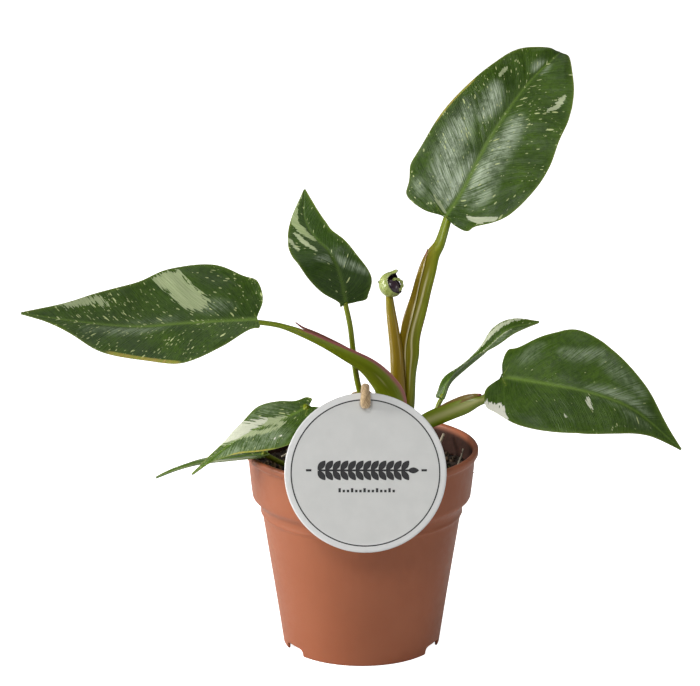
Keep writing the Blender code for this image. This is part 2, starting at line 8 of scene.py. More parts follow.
import bmesh
import bpy
import numpy as np
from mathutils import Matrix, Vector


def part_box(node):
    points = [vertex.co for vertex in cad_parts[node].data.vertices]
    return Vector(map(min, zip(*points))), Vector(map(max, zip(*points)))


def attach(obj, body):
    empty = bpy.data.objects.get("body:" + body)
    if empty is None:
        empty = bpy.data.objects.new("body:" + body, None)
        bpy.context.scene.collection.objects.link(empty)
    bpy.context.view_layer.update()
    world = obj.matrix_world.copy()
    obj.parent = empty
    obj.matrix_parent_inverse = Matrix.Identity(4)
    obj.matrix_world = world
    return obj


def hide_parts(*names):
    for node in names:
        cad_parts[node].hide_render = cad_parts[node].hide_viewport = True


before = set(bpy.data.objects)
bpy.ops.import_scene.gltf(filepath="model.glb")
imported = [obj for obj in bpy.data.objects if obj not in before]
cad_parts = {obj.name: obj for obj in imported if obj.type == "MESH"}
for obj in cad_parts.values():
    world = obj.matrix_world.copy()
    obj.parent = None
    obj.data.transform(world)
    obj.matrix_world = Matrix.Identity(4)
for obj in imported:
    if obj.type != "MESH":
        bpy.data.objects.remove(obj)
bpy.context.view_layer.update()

# Studio: a pale sheet under the pot, a broad soft light from the left and front, a weaker one from
# the right, one overhead, and an even white surround.
MM = 0.001
camera = bpy.data.objects.new("studio_camera", bpy.data.cameras.new("studio_camera"))
camera.location = (-0.006, -1.356, 0.5135)
camera.rotation_euler = (math.radians(75.38), 0, 0)
camera.data.sensor_width = 36
camera.data.lens = 141.5
bpy.context.scene.collection.objects.link(camera)
bpy.context.scene.camera = camera
bpy.context.scene.view_settings.view_transform = "Standard"


def add_softbox(name, at, towards, size, watts, colour=(1, 1, 1)):
    """A round soft light at one point, turned to shine towards another."""
    lamp = bpy.data.lights.new(name, "AREA")
    lamp.shape, lamp.size, lamp.energy, lamp.color = "DISK", size, watts, colour
    placed = bpy.data.objects.new(name, lamp)
    placed.location = at
    aim = np.array(towards) - np.array(at)
    placed.rotation_euler = (
        math.atan2(math.hypot(aim[0], aim[1]), -aim[2]), 0, math.atan2(aim[1], aim[0]) - math.pi / 2,
    )
    bpy.context.scene.collection.objects.link(placed)


add_softbox("left_softbox", (-1.5, -0.25, 0.55), (0, 0, 0.12), 0.8, 30, (1, 0.985, 0.96))
add_softbox("front_softbox", (-0.35, -1.25, 1.25), (0, 0, 0.15), 0.45, 9)
add_softbox("right_softbox", (1.4, -0.5, 0.5), (0, 0, 0.12), 0.5, 2.5)
add_softbox("top_softbox", (0.1, 0.5, 1.7), (0, 0, 0.15), 1.1, 5)

surround = bpy.data.worlds.new("white_surround")
surround.use_nodes = True
bpy.context.scene.world = surround
sky = surround.node_tree.nodes["Background"]
ray = surround.node_tree.nodes.new("ShaderNodeLightPath")
level = surround.node_tree.nodes.new("ShaderNodeMapRange")
level.inputs["To Min"].default_value, level.inputs["To Max"].default_value = 0.16, 1.0
surround.node_tree.links.new(ray.outputs["Is Camera Ray"], level.inputs["Value"])
surround.node_tree.links.new(level.outputs["Result"], sky.inputs["Strength"])
sky.inputs["Color"].default_value = (1, 1, 1, 1)

floor_mesh = bpy.data.meshes.new("pale_floor")
floor_mesh.from_pydata([(-4, -4, 0), (4, -4, 0), (4, 4, 0), (-4, 4, 0)], [], [(0, 1, 2, 3)])
pale_floor = bpy.data.objects.new("pale_floor", floor_mesh)
bpy.context.scene.collection.objects.link(pale_floor)
paper = bpy.data.materials.new("pale_paper")
paper.use_nodes = True
paper_surface = paper.node_tree.nodes["Principled BSDF"]
paper_surface.inputs["Base Color"].default_value = (0.92, 0.92, 0.915, 1)
paper_surface.inputs["Roughness"].default_value = 0.9
paper_surface.inputs["Emission Color"].default_value = (1, 1, 1, 1)
seen = paper.node_tree.nodes.new("ShaderNodeLightPath")
glow = paper.node_tree.nodes.new("ShaderNodeMapRange")
glow.inputs["To Max"].default_value = 1.0
paper.node_tree.links.new(seen.outputs["Is Camera Ray"], glow.inputs["Value"])
paper.node_tree.links.new(glow.outputs["Result"], paper_surface.inputs["Emission Strength"])
pale_floor.data.materials.append(paper)


# Nursery pot: thin injection-moulded plastic the colour of terracotta, with a rolled lip, a chamfered
# shoulder, a fine bead under it, and three notches in the ring foot.
def put(tree, kind, inputs=None, **settings):
    """Adds a shader node; an input given a socket is wired to it, and anything else sets its value."""
    made = tree.nodes.new("ShaderNode" + kind)
    for name, value in settings.items():
        setattr(made, name, value)
    for name, value in (inputs or {}).items():
        if isinstance(value, bpy.types.NodeSocket):
            tree.links.new(value, made.inputs[name])
        else:
            made.inputs[name].default_value = value
    return made


def calc(tree, operation, first, second=0.0):
    """One operation on one or two numbers."""
    return put(tree, "Math", {0: first, 1: second}, operation=operation).outputs[0]


def times(tree, first, second):
    """The first number multiplied by the second."""
    return calc(tree, "MULTIPLY", first, second)


def plus(tree, first, second):
    """The first number added to the second."""
    return calc(tree, "ADD", first, second)


def between(tree, value, low, high, to_low=0.0, to_high=1.0):
    """A smooth step: to_low below low, to_high above high."""
    inputs = {"Value": value, "From Min": low, "From Max": high, "To Min": to_low, "To Max": to_high}
    return put(tree, "MapRange", inputs, interpolation_type="SMOOTHSTEP").outputs[0]


def blend(tree, share, first, second):
    """The first colour, turning into the second as the share goes from 0 to 1."""
    colours = {6: first, 7: second}
    for k, value in colours.items():
        if isinstance(value, tuple):
            colours[k] = (*value, 1)
    return put(tree, "Mix", {0: share, **colours}, data_type="RGBA").outputs[2]


def mask(tree, name):
    """The number that each point of the mesh carries under that name."""
    return put(tree, "Attribute", attribute_name=name).outputs["Fac"]


def stretched(tree, vector, scale):
    """The vector with each of its parts multiplied by its own scale."""
    return put(tree, "Mapping", {"Vector": vector, "Scale": scale}).outputs[0]


def noise(tree, vector, scale, detail=3.0, roughness=0.55):
    """Cloudy random values around a half, finer as the scale grows."""
    inputs = {"Vector": vector, "Scale": scale, "Detail": detail, "Roughness": roughness}
    return put(tree, "TexNoise", inputs).outputs["Fac"]


def new_finish(name, roughness=0.5, **sockets):
    """A material whose Principled sockets hold its uniform values. Returns it, its tree and its shader."""
    made = bpy.data.materials.new(name)
    made.use_nodes = True
    shader = made.node_tree.nodes["Principled BSDF"]
    shader.inputs["Roughness"].default_value = roughness
    for socket, value in sockets.items():
        shader.inputs[socket.replace("_", " ")].default_value = value
    return made, made.node_tree, shader


def relief(tree, shader, height, depth_mm, strength=1.0):
    """Wires a height from 0 to 1, standing for a depth in millimetres, to the shader's normal."""
    bump = put(tree, "Bump", {"Strength": strength, "Distance": depth_mm * MM, "Height": height})
    tree.links.new(bump.outputs[0], shader.inputs["Normal"])


def new_group(name, inputs, outputs):
    """A shader node group. Inputs are {name: default}, a vector where the default is None."""
    tree = bpy.data.node_groups.new(name, "ShaderNodeTree")
    for socket, value in inputs.items():
        kind = "NodeSocketVector" if value is None else "NodeSocketFloat"
        made = tree.interface.new_socket(socket, in_out="INPUT", socket_type=kind)
        if value is not None:
            made.default_value = value
    for socket in outputs:
        tree.interface.new_socket(socket, in_out="OUTPUT", socket_type="NodeSocketFloat")
    return tree, tree.nodes.new("NodeGroupInput").outputs, tree.nodes.new("NodeGroupOutput").inputs


def use(tree, group, inputs):
    """Places a node group in a material and returns its outputs."""
    made = tree.nodes.new("ShaderNodeGroup")
    made.node_tree = group
    for name, value in inputs.items():
        if isinstance(value, bpy.types.NodeSocket):
            tree.links.new(value, made.inputs[name])
        else:
            made.inputs[name].default_value = value
    return made.outputs


# Grain: broad uneven tone and fine pores, for plastic, card and soil.
GRAIN, entry, leave = new_group("grain", {"Vector": None, "Scale": 100.0}, ("Tone", "Pores"))
broad = noise(GRAIN, entry["Vector"], times(GRAIN, entry["Scale"], 0.08), 4)
fine = noise(GRAIN, entry["Vector"], entry["Scale"], 5, 0.7)
GRAIN.links.new(between(GRAIN, broad, 0.3, 0.7), leave["Tone"])
GRAIN.links.new(fine, leave["Pores"])

# Streaks: long fine lines, for petioles, leaf tissue, roots and twine.
STREAKS, entry, leave = new_group("streaks", {"Vector": None, "Across": 60.0, "Along": 3.0},
                                  ("Tone", "Lines"))
scale = put(STREAKS, "CombineXYZ", {"X": entry["Along"], "Y": entry["Across"], "Z": 1.0}).outputs[0]
lined = put(STREAKS, "VectorMath", {0: entry["Vector"], 1: scale}, operation="MULTIPLY").outputs[0]
STREAKS.links.new(between(STREAKS, noise(STREAKS, lined, 0.35, 2), 0.3, 0.7), leave["Tone"])
STREAKS.links.new(noise(STREAKS, lined, 1.0, 4, 0.65), leave["Lines"])


def add_piece(name, mesh, finish):
    """Puts a finished mesh into the scene as one piece, in that material slot."""
    mesh.materials.append(finish)
    made = bpy.data.objects.new(name, mesh)
    bpy.context.scene.collection.objects.link(made)
    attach(made, "root")
    return made


def add_surface(
    name, grid, finish, uv=None, masks=None, wrap=(False, False), close=False, flip=False, uv2=None,
):
    """A smooth mesh from a grid of points in millimetres. wrap joins its last row or column to its
    first, and close welds a row drawn in to one point. UV pairs are given per point, with one row or
    column more where the grid wraps; masks are one number per point."""
    rows, columns = grid.shape[:2]
    i, j = np.meshgrid(np.arange(rows - 1 + wrap[0]), np.arange(columns - 1 + wrap[1]), indexing="ij")
    corners = [(i, j), (i, j + 1), (i + 1, j + 1), (i + 1, j)]
    faces = np.stack([(a % rows) * columns + b % columns for a, b in corners], -1).reshape(-1, 4)
    order = [3, 2, 1, 0] if flip else [0, 1, 2, 3]
    faces = faces[:, order]
    mesh = bpy.data.meshes.new(name)
    mesh.from_pydata(grid.reshape(-1, 3) * MM, [], faces)
    for title, pairs in (("run", uv), ("veins", uv2)):
        if pairs is not None:
            layer = mesh.uv_layers.new(name=title)
            pairs = np.stack([pairs[a, b] for a, b in corners], -2).reshape(-1, 4, 2)[:, order]
            layer.data.foreach_set("uv", pairs.astype(np.float32).ravel())
    for title, values in (masks or {}).items():
        made = mesh.attributes.new(title, "FLOAT", "POINT")
        made.data.foreach_set("value", np.broadcast_to(values, (rows, columns)).astype(np.float32).ravel())
    if close:
        shape = bmesh.new()
        shape.from_mesh(mesh)
        bmesh.ops.remove_doubles(shape, verts=shape.verts, dist=1e-6)
        shape.to_mesh(mesh)
        shape.free()
    mesh.polygons.foreach_set("use_smooth", np.ones(len(mesh.polygons), bool))
    return add_piece(name, mesh, finish)


def step(values, low, high):
    """A smooth step from 0 at low to 1 at high, for arrays."""
    t = np.clip((values - low) / (high - low), 0, 1)
    return t * t * (3 - 2 * t)


def smooth_curve(points, count):
    """Evenly spaced points on a Catmull-Rom curve through the points given, and its length."""
    p = np.array(points, float)
    p = np.vstack([2 * p[0] - p[1], p, 2 * p[-1] - p[-2]])
    t = np.linspace(0, 1, 30, endpoint=False)[:, None]
    pieces = [
        0.5 * (2 * b + (c - a) * t + (2 * a - 5 * b + 4 * c - d) * t**2 + (3 * b - a - 3 * c + d) * t**3)
        for a, b, c, d in zip(p, p[1:], p[2:], p[3:])
    ]
    fine = np.vstack([*pieces, p[-2][None]])
    run = np.concatenate([[0], np.cumsum(np.linalg.norm(np.diff(fine, axis=0), axis=1))])
    even = np.linspace(0, run[-1], count)
    return np.stack([np.interp(even, run, fine[:, k]) for k in range(fine.shape[1])], 1), run[-1]


# The profile goes as (radius, height) from the middle of the floor's underside, up the outside to the
# lip, and down the inside.
FOOT_RADIUS, FLOOR_RISE, LIP_UNDERSIDE, LIP_SHOULDER = 40.6, 4.0, 101.5, 104.6
NOTCHES, NOTCH_HALF, NOTCH_HIGH = (-148.5, -25.5, 93.0), 7.75, 3.8
DRAINS, DRAIN_RADIUS, DRAIN_CIRCLE, DRAIN_TURN = 3, 4.0, 25.0, 0.262
PROFILE_STEP = 1.5
outside = [
    (0, 0), (10.4, 0), (11, 0.5), (11.2, 3.7), (12, 4), (38.6, 4), (39.3, 3.6), (39.4, 0.5), (39.7, 0),
    (40.3, 0), (40.65, 0.5), (40.9, 2.2), (42.6, 14), (45.3, 32), (48.4, 52), (51.1, 69.6),
    (51.55, 70.6), (52.15, 71.4), (52.0, 72.2), (51.85, 73), (52.2, 75.2), (52.7, 76.1), (55.9, 79.5),
    (56.35, 80.4), (57.0, 86), (57.9, 95), (58.3, 100.2), (58.8, 101.1), (59.5, 101.5), (60, 102.4),
    (60, 104.4), (59.6, 105.1), (58.7, 105.4),
]
inside_wall = [
    (57.7, 105.1), (57.2, 104.2), (56.9, 102.6), (56.5, 101), (56.2, 96), (55.4, 86), (55.0, 80.6),
    (54.4, 79.6), (51.6, 76.4), (51.1, 75), (47.4, 52), (44.2, 32), (41, 12), (40, 6.4), (39, 5.2),
    (20, 5.2), (0, 5.2),
]
profile = np.array(outside + inside_wall)
pieces = [
    np.linspace(a, b, max(2, int(np.ceil(np.linalg.norm(b - a) / PROFILE_STEP)) + 1))[:-1]
    for a, b in zip(profile, profile[1:])
]
profile = np.vstack([*pieces, profile[-1]])
angles = np.linspace(0, 2 * math.pi, 240, endpoint=False)
for notch in NOTCHES:
    for side in (-1, 1):
        notch_edge = np.radians(notch) % (2 * math.pi) + side * NOTCH_HALF / FOOT_RADIUS
        angles = np.append(angles, notch_edge + np.linspace(-0.03, 0.03, 17))
angles = np.sort(np.mod(angles, 2 * math.pi))
angles = angles[np.append(np.diff(angles) > 1e-4, True)]
rise = np.zeros_like(angles)
for notch in NOTCHES:
    # A notch is a rounded arch: its height falls off with the sixth power of the way from its middle.
    turned_by = np.abs((angles - math.radians(notch) + math.pi) % (2 * math.pi) - math.pi)
    away = turned_by * FOOT_RADIUS / NOTCH_HALF
    rise += NOTCH_HIGH * np.clip(1 - away**6, 0, 1) ** (1 / 3)
low = profile[:, 1, None]
# The ring foot is lifted by the rise at its bottom, and by nothing 4 mm up its inside or 12 mm up its
# outside, and its wall leans out by 0.148 of its height.
ring_foot = (profile[:, 0, None] > 39) & (low < 12)
lift_ends = np.where(profile[:, 0, None] < 39.5, FLOOR_RISE, 12.0)
lifted = low + ring_foot * rise[None, :] * np.clip(1 - low / lift_ends, 0, 1)
radius = profile[:, 0, None] + np.where(profile[:, 0, None] > 40.4, (lifted - low) * 0.148, 0)
pot_grid = np.stack([radius * np.cos(angles), radius * np.sin(angles), lifted], -1)

pot_finish, tree, shader = new_finish(
    "terracotta_plastic", 0.42, Specular_IOR_Level=0.27, Subsurface_Weight=0.06, Subsurface_Scale=0.004,
)
place = put(tree, "TexCoord").outputs["Object"]
grain = use(tree, GRAIN, {"Vector": place, "Scale": 260.0})
scuffs = use(tree, STREAKS, {"Vector": place, "Across": 30.0, "Along": 900.0})
base = blend(tree, grain["Tone"], (0.295, 0.093, 0.042), (0.32, 0.105, 0.049))
base = blend(tree, times(tree, between(tree, scuffs["Lines"], 0.6, 0.8), 0.1), base, (0.42, 0.2, 0.13))
# Fine dust from the soil lies on the lip and the inner wall, and the inner wall below the lip is painted
# almost black as painted shade.
dust = times(tree, mask(tree, "inner"), between(tree, grain["Pores"], 0.35, 0.75))
dust_and_shade = plus(tree, times(tree, dust, 0.04), times(tree, mask(tree, "inner"), 0.95))
base = blend(tree, dust_and_shade, base, (0.02, 0.006, 0.003))
tree.links.new(base, shader.inputs["Base Color"])
gloss = between(tree, grain["Pores"], 0.3, 0.8, 0.38, 0.5)
gloss = plus(tree, gloss, times(tree, mask(tree, "inner"), 0.4))
tree.links.new(gloss, shader.inputs["Roughness"])
relief(tree, shader, grain["Pores"], 0.04)

first_inside = sum(len(piece) for piece in pieces[: len(outside)])
below_lip = step(pot_grid[..., 2], LIP_SHOULDER, LIP_UNDERSIDE)
inner = (np.arange(len(profile)) >= first_inside)[:, None] * below_lip
pot = add_surface(
    "pot_shell", pot_grid, pot_finish, masks={"inner": inner},
    wrap=(False, True), close=True, flip=True,
)
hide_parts("nursery_pot")
# The drain holes go through the floor of the pot.
cutter_shape = bmesh.new()
for number in range(DRAINS):
    turn = 2 * math.pi * (number / DRAINS + DRAIN_TURN)
    hole_radius = DRAIN_RADIUS * MM
    made = bmesh.ops.create_cone(
        cutter_shape, cap_ends=True, segments=40, radius1=hole_radius, radius2=hole_radius, depth=6 * MM,
    )
    centre = (DRAIN_CIRCLE * math.cos(turn) * MM, DRAIN_CIRCLE * math.sin(turn) * MM, 4.6 * MM)
    bmesh.ops.translate(cutter_shape, verts=made["verts"], vec=centre)
cutter_mesh = bpy.data.meshes.new("drain_cutter")
cutter_shape.to_mesh(cutter_mesh)
cutter_shape.free()
drain_cutter = bpy.data.objects.new("drain_cutter", cutter_mesh)
bpy.context.scene.collection.objects.link(drain_cutter)
drains = pot.modifiers.new("drains", "BOOLEAN")
drains.operation, drains.solver, drains.object = "DIFFERENCE", "EXACT", drain_cutter
bpy.context.view_layer.update()
drained = bpy.data.meshes.new_from_object(pot.evaluated_get(bpy.context.evaluated_depsgraph_get()))
pot.modifiers.clear()
pot.data = drained
bpy.data.objects.remove(drain_cutter)


# Potting soil: moist dark peat with crumbs, bits of bark and moss, filling the pot to 13 mm under its
# rim. The bed is one uneven sheet, and the crumbs on it are one mesh of small lumps.
SOIL_TOP, SOIL_RADIUS, SOIL_FOOT = 92.0, 55.4, 83.0
CRUMBS = 1500
chance = np.random.default_rng(7)


def rough(points, cell, seed=0):
    """Smooth noise from -1 to 1: random values on a lattice of that cell size, blended between."""
    p = np.asarray(points, float) / cell
    base, part = np.floor(p).astype(np.int64), p - np.floor(p)
    part = part * part * (3 - 2 * part)
    total = 0.0
    for corner in np.ndindex(*(2,) * p.shape[-1]):
        at = base + corner
        code = (at * np.array([73856093, 19349663, 83492791][: p.shape[-1]])).sum(-1) + seed * 2654435
        value = np.abs(np.sin((code % 100003) * 12.9898)) * 43758.5453 % 1
        total = total + value * np.prod(np.where(corner, part, 1 - part), -1)
    return 2 * total - 1


def soil_height(x, y):
    """Height of the bed: the frame's own gentle swell, with lumps of 9, 4 and 1.8 mm on it."""
    swell = 0.4 * np.sin(0.2 * x + 1.2) * np.cos(0.17 * y) + 0.3 * np.sin(0.22 * y - 0.3 * x)
    at = np.stack([x, y], -1)
    return SOIL_TOP + swell + 0.9 * rough(at, 9, 1) + 0.7 * rough(at, 4, 2) + 0.4 * rough(at, 1.8, 3)


soil_rows, soil_columns = 90, 260
out = np.linspace(0, 1, soil_rows)[:, None] ** 0.8
round_ = np.linspace(0, 2 * math.pi, soil_columns, endpoint=False)[None, :]
x, y = SOIL_RADIUS * out * np.cos(round_), SOIL_RADIUS * out * np.sin(round_)
bed = np.stack([x, y, soil_height(x, y) - 0.5], -1)
skirt = bed[-1:].copy()
skirt[..., 2] = SOIL_FOOT + 1
base_ring = np.concatenate([skirt[..., :2] * 0.97, np.full((1, soil_columns, 1), SOIL_FOOT)], -1)
middle = np.zeros((1, soil_columns, 3)) + (0, 0, SOIL_FOOT)
soil_finish, tree, shader = new_finish("damp_peat", 0.92)
place = put(tree, "TexCoord").outputs["Object"]
grain = use(tree, GRAIN, {"Vector": place, "Scale": 900.0})
base = blend(tree, grain["Tone"], (0.012, 0.0075, 0.005), (0.04, 0.024, 0.014))
base = blend(tree, between(tree, grain["Pores"], 0.55, 0.75), base, (0.085, 0.052, 0.03))
tree.links.new(base, shader.inputs["Base Color"])
relief(tree, shader, grain["Pores"], 0.8)
soil_grid = np.concatenate([bed, skirt, base_ring, middle])
soil = add_surface("soil_bed", soil_grid, soil_finish, wrap=(False, True), close=True)
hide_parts("potting_soil")


def face_outwards(mesh):
    """Turns the faces of closed bodies so that they point out."""
    shape = bmesh.new()
    shape.from_mesh(mesh)
    bmesh.ops.recalc_face_normals(shape, faces=shape.faces)
    shape.to_mesh(mesh)
    shape.free()


def add_lumps(name, centres, sizes, stretch, finish, seed):
    """Small closed lumps: one 42-point ball, dented, stretched, turned and set at each centre."""
    ball = bmesh.new()
    bmesh.ops.create_icosphere(ball, subdivisions=2, radius=1)
    points = np.array([v.co for v in ball.verts])
    faces = np.array([[v.index for v in f.verts] for f in ball.faces])
    ball.free()
    pick = np.random.default_rng(seed)
    count = len(centres)
    dented = points[None] * (1 + 0.22 * pick.standard_normal((count, len(points), 1)))
    sides = np.stack([stretch, np.ones(count), pick.uniform(0.5, 1, count)], -1)
    dented = dented * (sizes[:, None, None] * sides[:, None])
    turns = np.linalg.qr(pick.standard_normal((count, 3, 3)))[0]
    placed = np.einsum("nvk,njk->nvj", dented, turns) + centres[:, None]
    mesh = bpy.data.meshes.new(name)
    all_faces = (faces[None] + np.arange(count)[:, None, None] * len(points)).reshape(-1, 3)
    mesh.from_pydata(placed.reshape(-1, 3) * MM, [], all_faces)
    shade = mesh.attributes.new("shade", "FLOAT", "POINT")
    shade.data.foreach_set("value", np.repeat(pick.uniform(0, 1, count), len(points)).astype(np.float32))
    face_outwards(mesh)
    return add_piece(name, mesh, finish)


crumb_finish, tree, shader = new_finish("peat_crumbs", 0.9)
place = put(tree, "TexCoord").outputs["Object"]
grain = use(tree, GRAIN, {"Vector": place, "Scale": 1500.0})
shade = mask(tree, "shade")
base = blend(tree, shade, (0.012, 0.007, 0.004), (0.075, 0.043, 0.022))
base = blend(tree, between(tree, shade, 0.93, 0.94), base, (0.24, 0.15, 0.075))
base = blend(tree, between(tree, shade, 0.975, 0.98), base, (0.05, 0.09, 0.02))
base = blend(tree, times(tree, between(tree, grain["Pores"], 0.5, 0.75), 0.5), base, (0.11, 0.07, 0.04))
tree.links.new(base, shader.inputs["Base Color"])
relief(tree, shader, grain["Pores"], 0.4)
reach = (SOIL_RADIUS - 1.2) * np.sqrt(chance.uniform(0, 1, CRUMBS))
turn = chance.uniform(0, 2 * math.pi, CRUMBS)
x, y = reach * np.cos(turn), reach * np.sin(turn)
sizes = 0.45 + 1.1 * chance.uniform(0, 1, CRUMBS) ** 3
centres = np.stack([x, y, soil_height(x, y) + 0.1 * sizes], -1)
longer = 1 + 2.2 * chance.uniform(0, 1, CRUMBS) ** 4
add_lumps("soil_crumbs", centres, sizes, longer, crumb_finish, 11)


# Crown and petioles: the short stem, and the fleshy stalks that leave it. A petiole with a sheath is a
# channel whose thin arms fold up; its edge is pink or maroon, and its body olive to fresh green.
def along(values, t):
    """Evenly spaced values as a smooth function of t from 0 to 1."""
    v = np.array(values, float)
    if len(v) == 1:
        return np.full_like(t, v[0])
    v = np.concatenate([[2 * v[0] - v[1]], v, [2 * v[-1] - v[-2]]])
    x = np.clip(t, 0, 1) * (len(v) - 3)
    i = np.clip(np.floor(x).astype(int), 0, len(v) - 4)
    f = x - i
    a, b, c, d = v[i], v[i + 1], v[i + 2], v[i + 3]
    return 0.5 * (2 * b + (c - a) * f + (2 * a - 5 * b + 4 * c - d) * f**2 + (3 * b - a - 3 * c + d) * f**3)


def unit(vectors):
    """Each vector divided by its length."""
    return vectors / np.linalg.norm(vectors, axis=-1, keepdims=True)


stalk_finish, tree, shader = new_finish("waxy_stalk", 0.34, Specular_IOR_Level=0.3, Coat_Roughness=0.2)
run = put(tree, "UVMap", uv_map="run").outputs[0]
place = put(tree, "TexCoord").outputs["Object"]
lines = use(tree, STREAKS, {"Vector": run, "Across": 30.0, "Along": 2.5})
grain = use(tree, GRAIN, {"Vector": place, "Scale": 700.0})
green = blend(tree, lines["Tone"], (0.12, 0.175, 0.002), (0.23, 0.3, 0.012))
olive = blend(tree, lines["Tone"], (0.21, 0.128, 0.002), (0.33, 0.228, 0.008))
base = blend(tree, mask(tree, "olive"), green, olive)
base = blend(tree, times(tree, between(tree, lines["Lines"], 0.55, 0.75), 0.45), base, (0.36, 0.4, 0.08))
blush = between(tree, plus(tree, mask(tree, "blush"), times(tree, lines["Lines"], 0.3)), 0.4, 0.85)
maroon = blend(tree, lines["Tone"], (0.22, 0.05, 0.05), (0.52, 0.22, 0.18))
base = blend(tree, blush, base, maroon)
# Painted highlight: a pale cream line down the front of a sheath and along a flap stands in for a
# reflection of the light.
base = blend(tree, mask(tree, "cream"), base, (0.78, 0.7, 0.38))
tree.links.new(base, shader.inputs["Base Color"])
tree.links.new(between(tree, lines["Lines"], 0.3, 0.8, 0.28, 0.45), shader.inputs["Roughness"])
shader.inputs["Coat Weight"].default_value = 0.15
relief(tree, shader, plus(tree, lines["Lines"], times(tree, grain["Pores"], 0.4)), 0.18)


def sweep(path, width, depth, bow, opens, rings, sides, thin=0.0):
    """A channel carried along a path: an oval of the half-width and half-depth whose arms bend by the
    bow and thin towards their edges. Returns its grid, the UV run along and round it, and the turn
    and place of each point."""
    centre, length = smooth_curve(path, rings)
    t = np.linspace(0, 1, rings)
    a, b, bend = (along(v, t)[:, None] for v in (width, depth, bow))
    tangent = unit(np.gradient(centre, axis=0))
    front = np.array(opens, float) * np.ones((rings, 1))
    front = unit(front - (front * tangent).sum(1, keepdims=True) * tangent)
    side = np.cross(tangent, front)
    turn = np.linspace(0, 2 * math.pi, sides, endpoint=False)[None, :]
    thinner = 1 - thin * np.clip(bend / 3, 0, 1) * np.cos(turn) ** 6
    x, y = a * np.cos(turn), b * thinner * np.sin(turn) + bend * (np.cos(turn) ** 2 - 0.4)
    grid = centre[:, None] + x[..., None] * side[:, None] + y[..., None] * front[:, None]
    caps = [np.repeat(centre[[k], None], sides, 1) - 0.4 * bend[k] * front[k] for k in (0, -1)]
    grid = np.concatenate([caps[0], grid, caps[1]])
    rows = np.concatenate([[0], t, [1]])[:, None] * length / 100
    round_ = np.linspace(0, 1, sides + 1)[None, :] * 2 * math.pi * a.max() / 100
    uv = np.stack(np.broadcast_arrays(rows, round_), -1)
    return grid, uv, turn, np.concatenate([[0], t, [1]])[:, None]


SHEATHS = {
    "a": dict(
        path=[(21, -5, 9), (22, -2.4, 16), (22.5, -1.5, 21.2), (24.2, -1.5, 38), (24.7, -1.5, 54),
              (25, -1, 62), (24.8, 0.5, 69.5), (26, 2, 77), (29.6, 4, 89.5), (32, 5, 99),
              (35.6, 7, 111), (39.6, 8.5, 118), (43.2, 13.0, 128.4)],
        width=[4.4, 3.6, 3.1, 3.1, 4.8, 5.6, 5.0, 4.6, 2.8, 2.2],
        depth=[4, 3.4, 3, 2.8, 2.6, 2.5, 2.4, 2.3, 2.2, 2.2],
        bow=[0, 0, 0, 0, 1, 1.5, 1.5, 1, 0, 0], opens=(-0.3, -1, 0.2), blush=0.5, olive=(1.0, 0.1),
        ridge=(1.35, 0.25, 0.8, 0.09, 0.9), edge=4,
    ),
    "b": dict(
        path=[(15, -11, 8), (14, -13.4, 14), (13.8, -15, 21.4), (14.2, -17.2, 34), (13.2, -18, 44.8),
              (9.1, -20, 52.7), (2, -24, 61.6), (-8.5, -27, 69), (-20.9, -30, 76.6), (-32.3, -33, 82.5),
              (-42, -34.5, 86), (-53.0, -36.9, 88.2)],
        width=[5, 6, 8.2, 8.8, 7.6, 6.2, 4.2, 3, 1.4, 1.3],
        depth=[3, 2.4, 1.9, 1.8, 1.8, 1.8, 1.7, 1.5, 1.3, 1.3],
        bow=[1, 2, 3.5, 4, 3.5, 2.5, 1.5, 1, 0, 0], opens=(0.3, 0.8, 1), blush=1.0, olive=(0.1, 0.1),
        ridge=(4.2, 0.34, 0.46, 0.035, 0.8), edge=6,
    ),
    "d": dict(
        path=[(21, -9, 11), (24.5, -9.2, 17), (27, -9, 20.8), (29, -8.8, 25.5), (33.8, -9, 29.2),
              (44.8, -12, 35), (56.9, -13, 40.2), (62.5, -12, 41.8), (67.6, -11, 46),
              (72.7, -12.6, 51.2)],
        width=[3, 3.4, 4, 4.4, 4.4, 4.3, 2.4, 2.2, 2.1], depth=[3.2, 3.2, 3, 2.8, 2.6, 2.5, 2.2, 2.2, 2.1],
        bow=[0, 0, 0.6, 1, 1, 0.8, 0, 0, 0], opens=(0, -1, 0.4), blush=0.5, olive=(0.0, 0.0),
        ridge=(1.5, 0.0, 1.0, 0.4, 0.4), edge=5,
    ),
}
THIN_STALKS = {
    "c": dict(
        path=[(12, -8, 12), (10, -7, 18), (9, -6.5, 21.2), (4, -9, 30), (0.5, -11, 40), (-2, -13.5, 50),
              (-3.6, -15.5, 60), (-4.8, -17.5, 71.7), (-6, -19, 82),
              (-8.0, -19.2, 91.6)], radii=[2.2, 1.6, 1.5, 1.4, 1.3],
    ),
    "e": dict(
        path=[(20, -5, 6), (25.2, -0.8, 12), (32, 6, 16), (37.6, 13, 23.5), (39.6, 16, 29.8),
              (41.6, 17.6, 33.6)],
        radii=[2.4, 1.5, 1.4, 1.3, 1.2],
    ),
    "f": dict(
        path=[(14, -12, 7), (9.4, -14.5, 13), (0, -19, 20.5), (-10, -23.5, 28), (-20, -29, 37),
              (-27.2, -33.6, 42.6)],
        radii=[2.8, 2.4, 2.1, 1.9, 1.8],
    ),
    "g": dict(
        path=[(13, -8.5, 8), (8.8, -9.4, 7), (-10, -15, 5.4), (-26, -19, 5.6), (-37, -22, 9.2),
              (-44, -23.4, 12.8), (-48.4, -24.2, 15.6)],
        radii=[2.4, 1.5, 1.4, 1.4, 1.3],
    ),
}
ABOVE_SOIL = np.array([0, 0, SOIL_TOP])


def run_on(path, further=2.2):
    """The path above the soil, carried that much further, so that a stalk ends under its leaf."""
    path = np.array(path, float) + ABOVE_SOIL
    return np.vstack([path, path[-1] + further * unit(path[-1] - path[-2])])


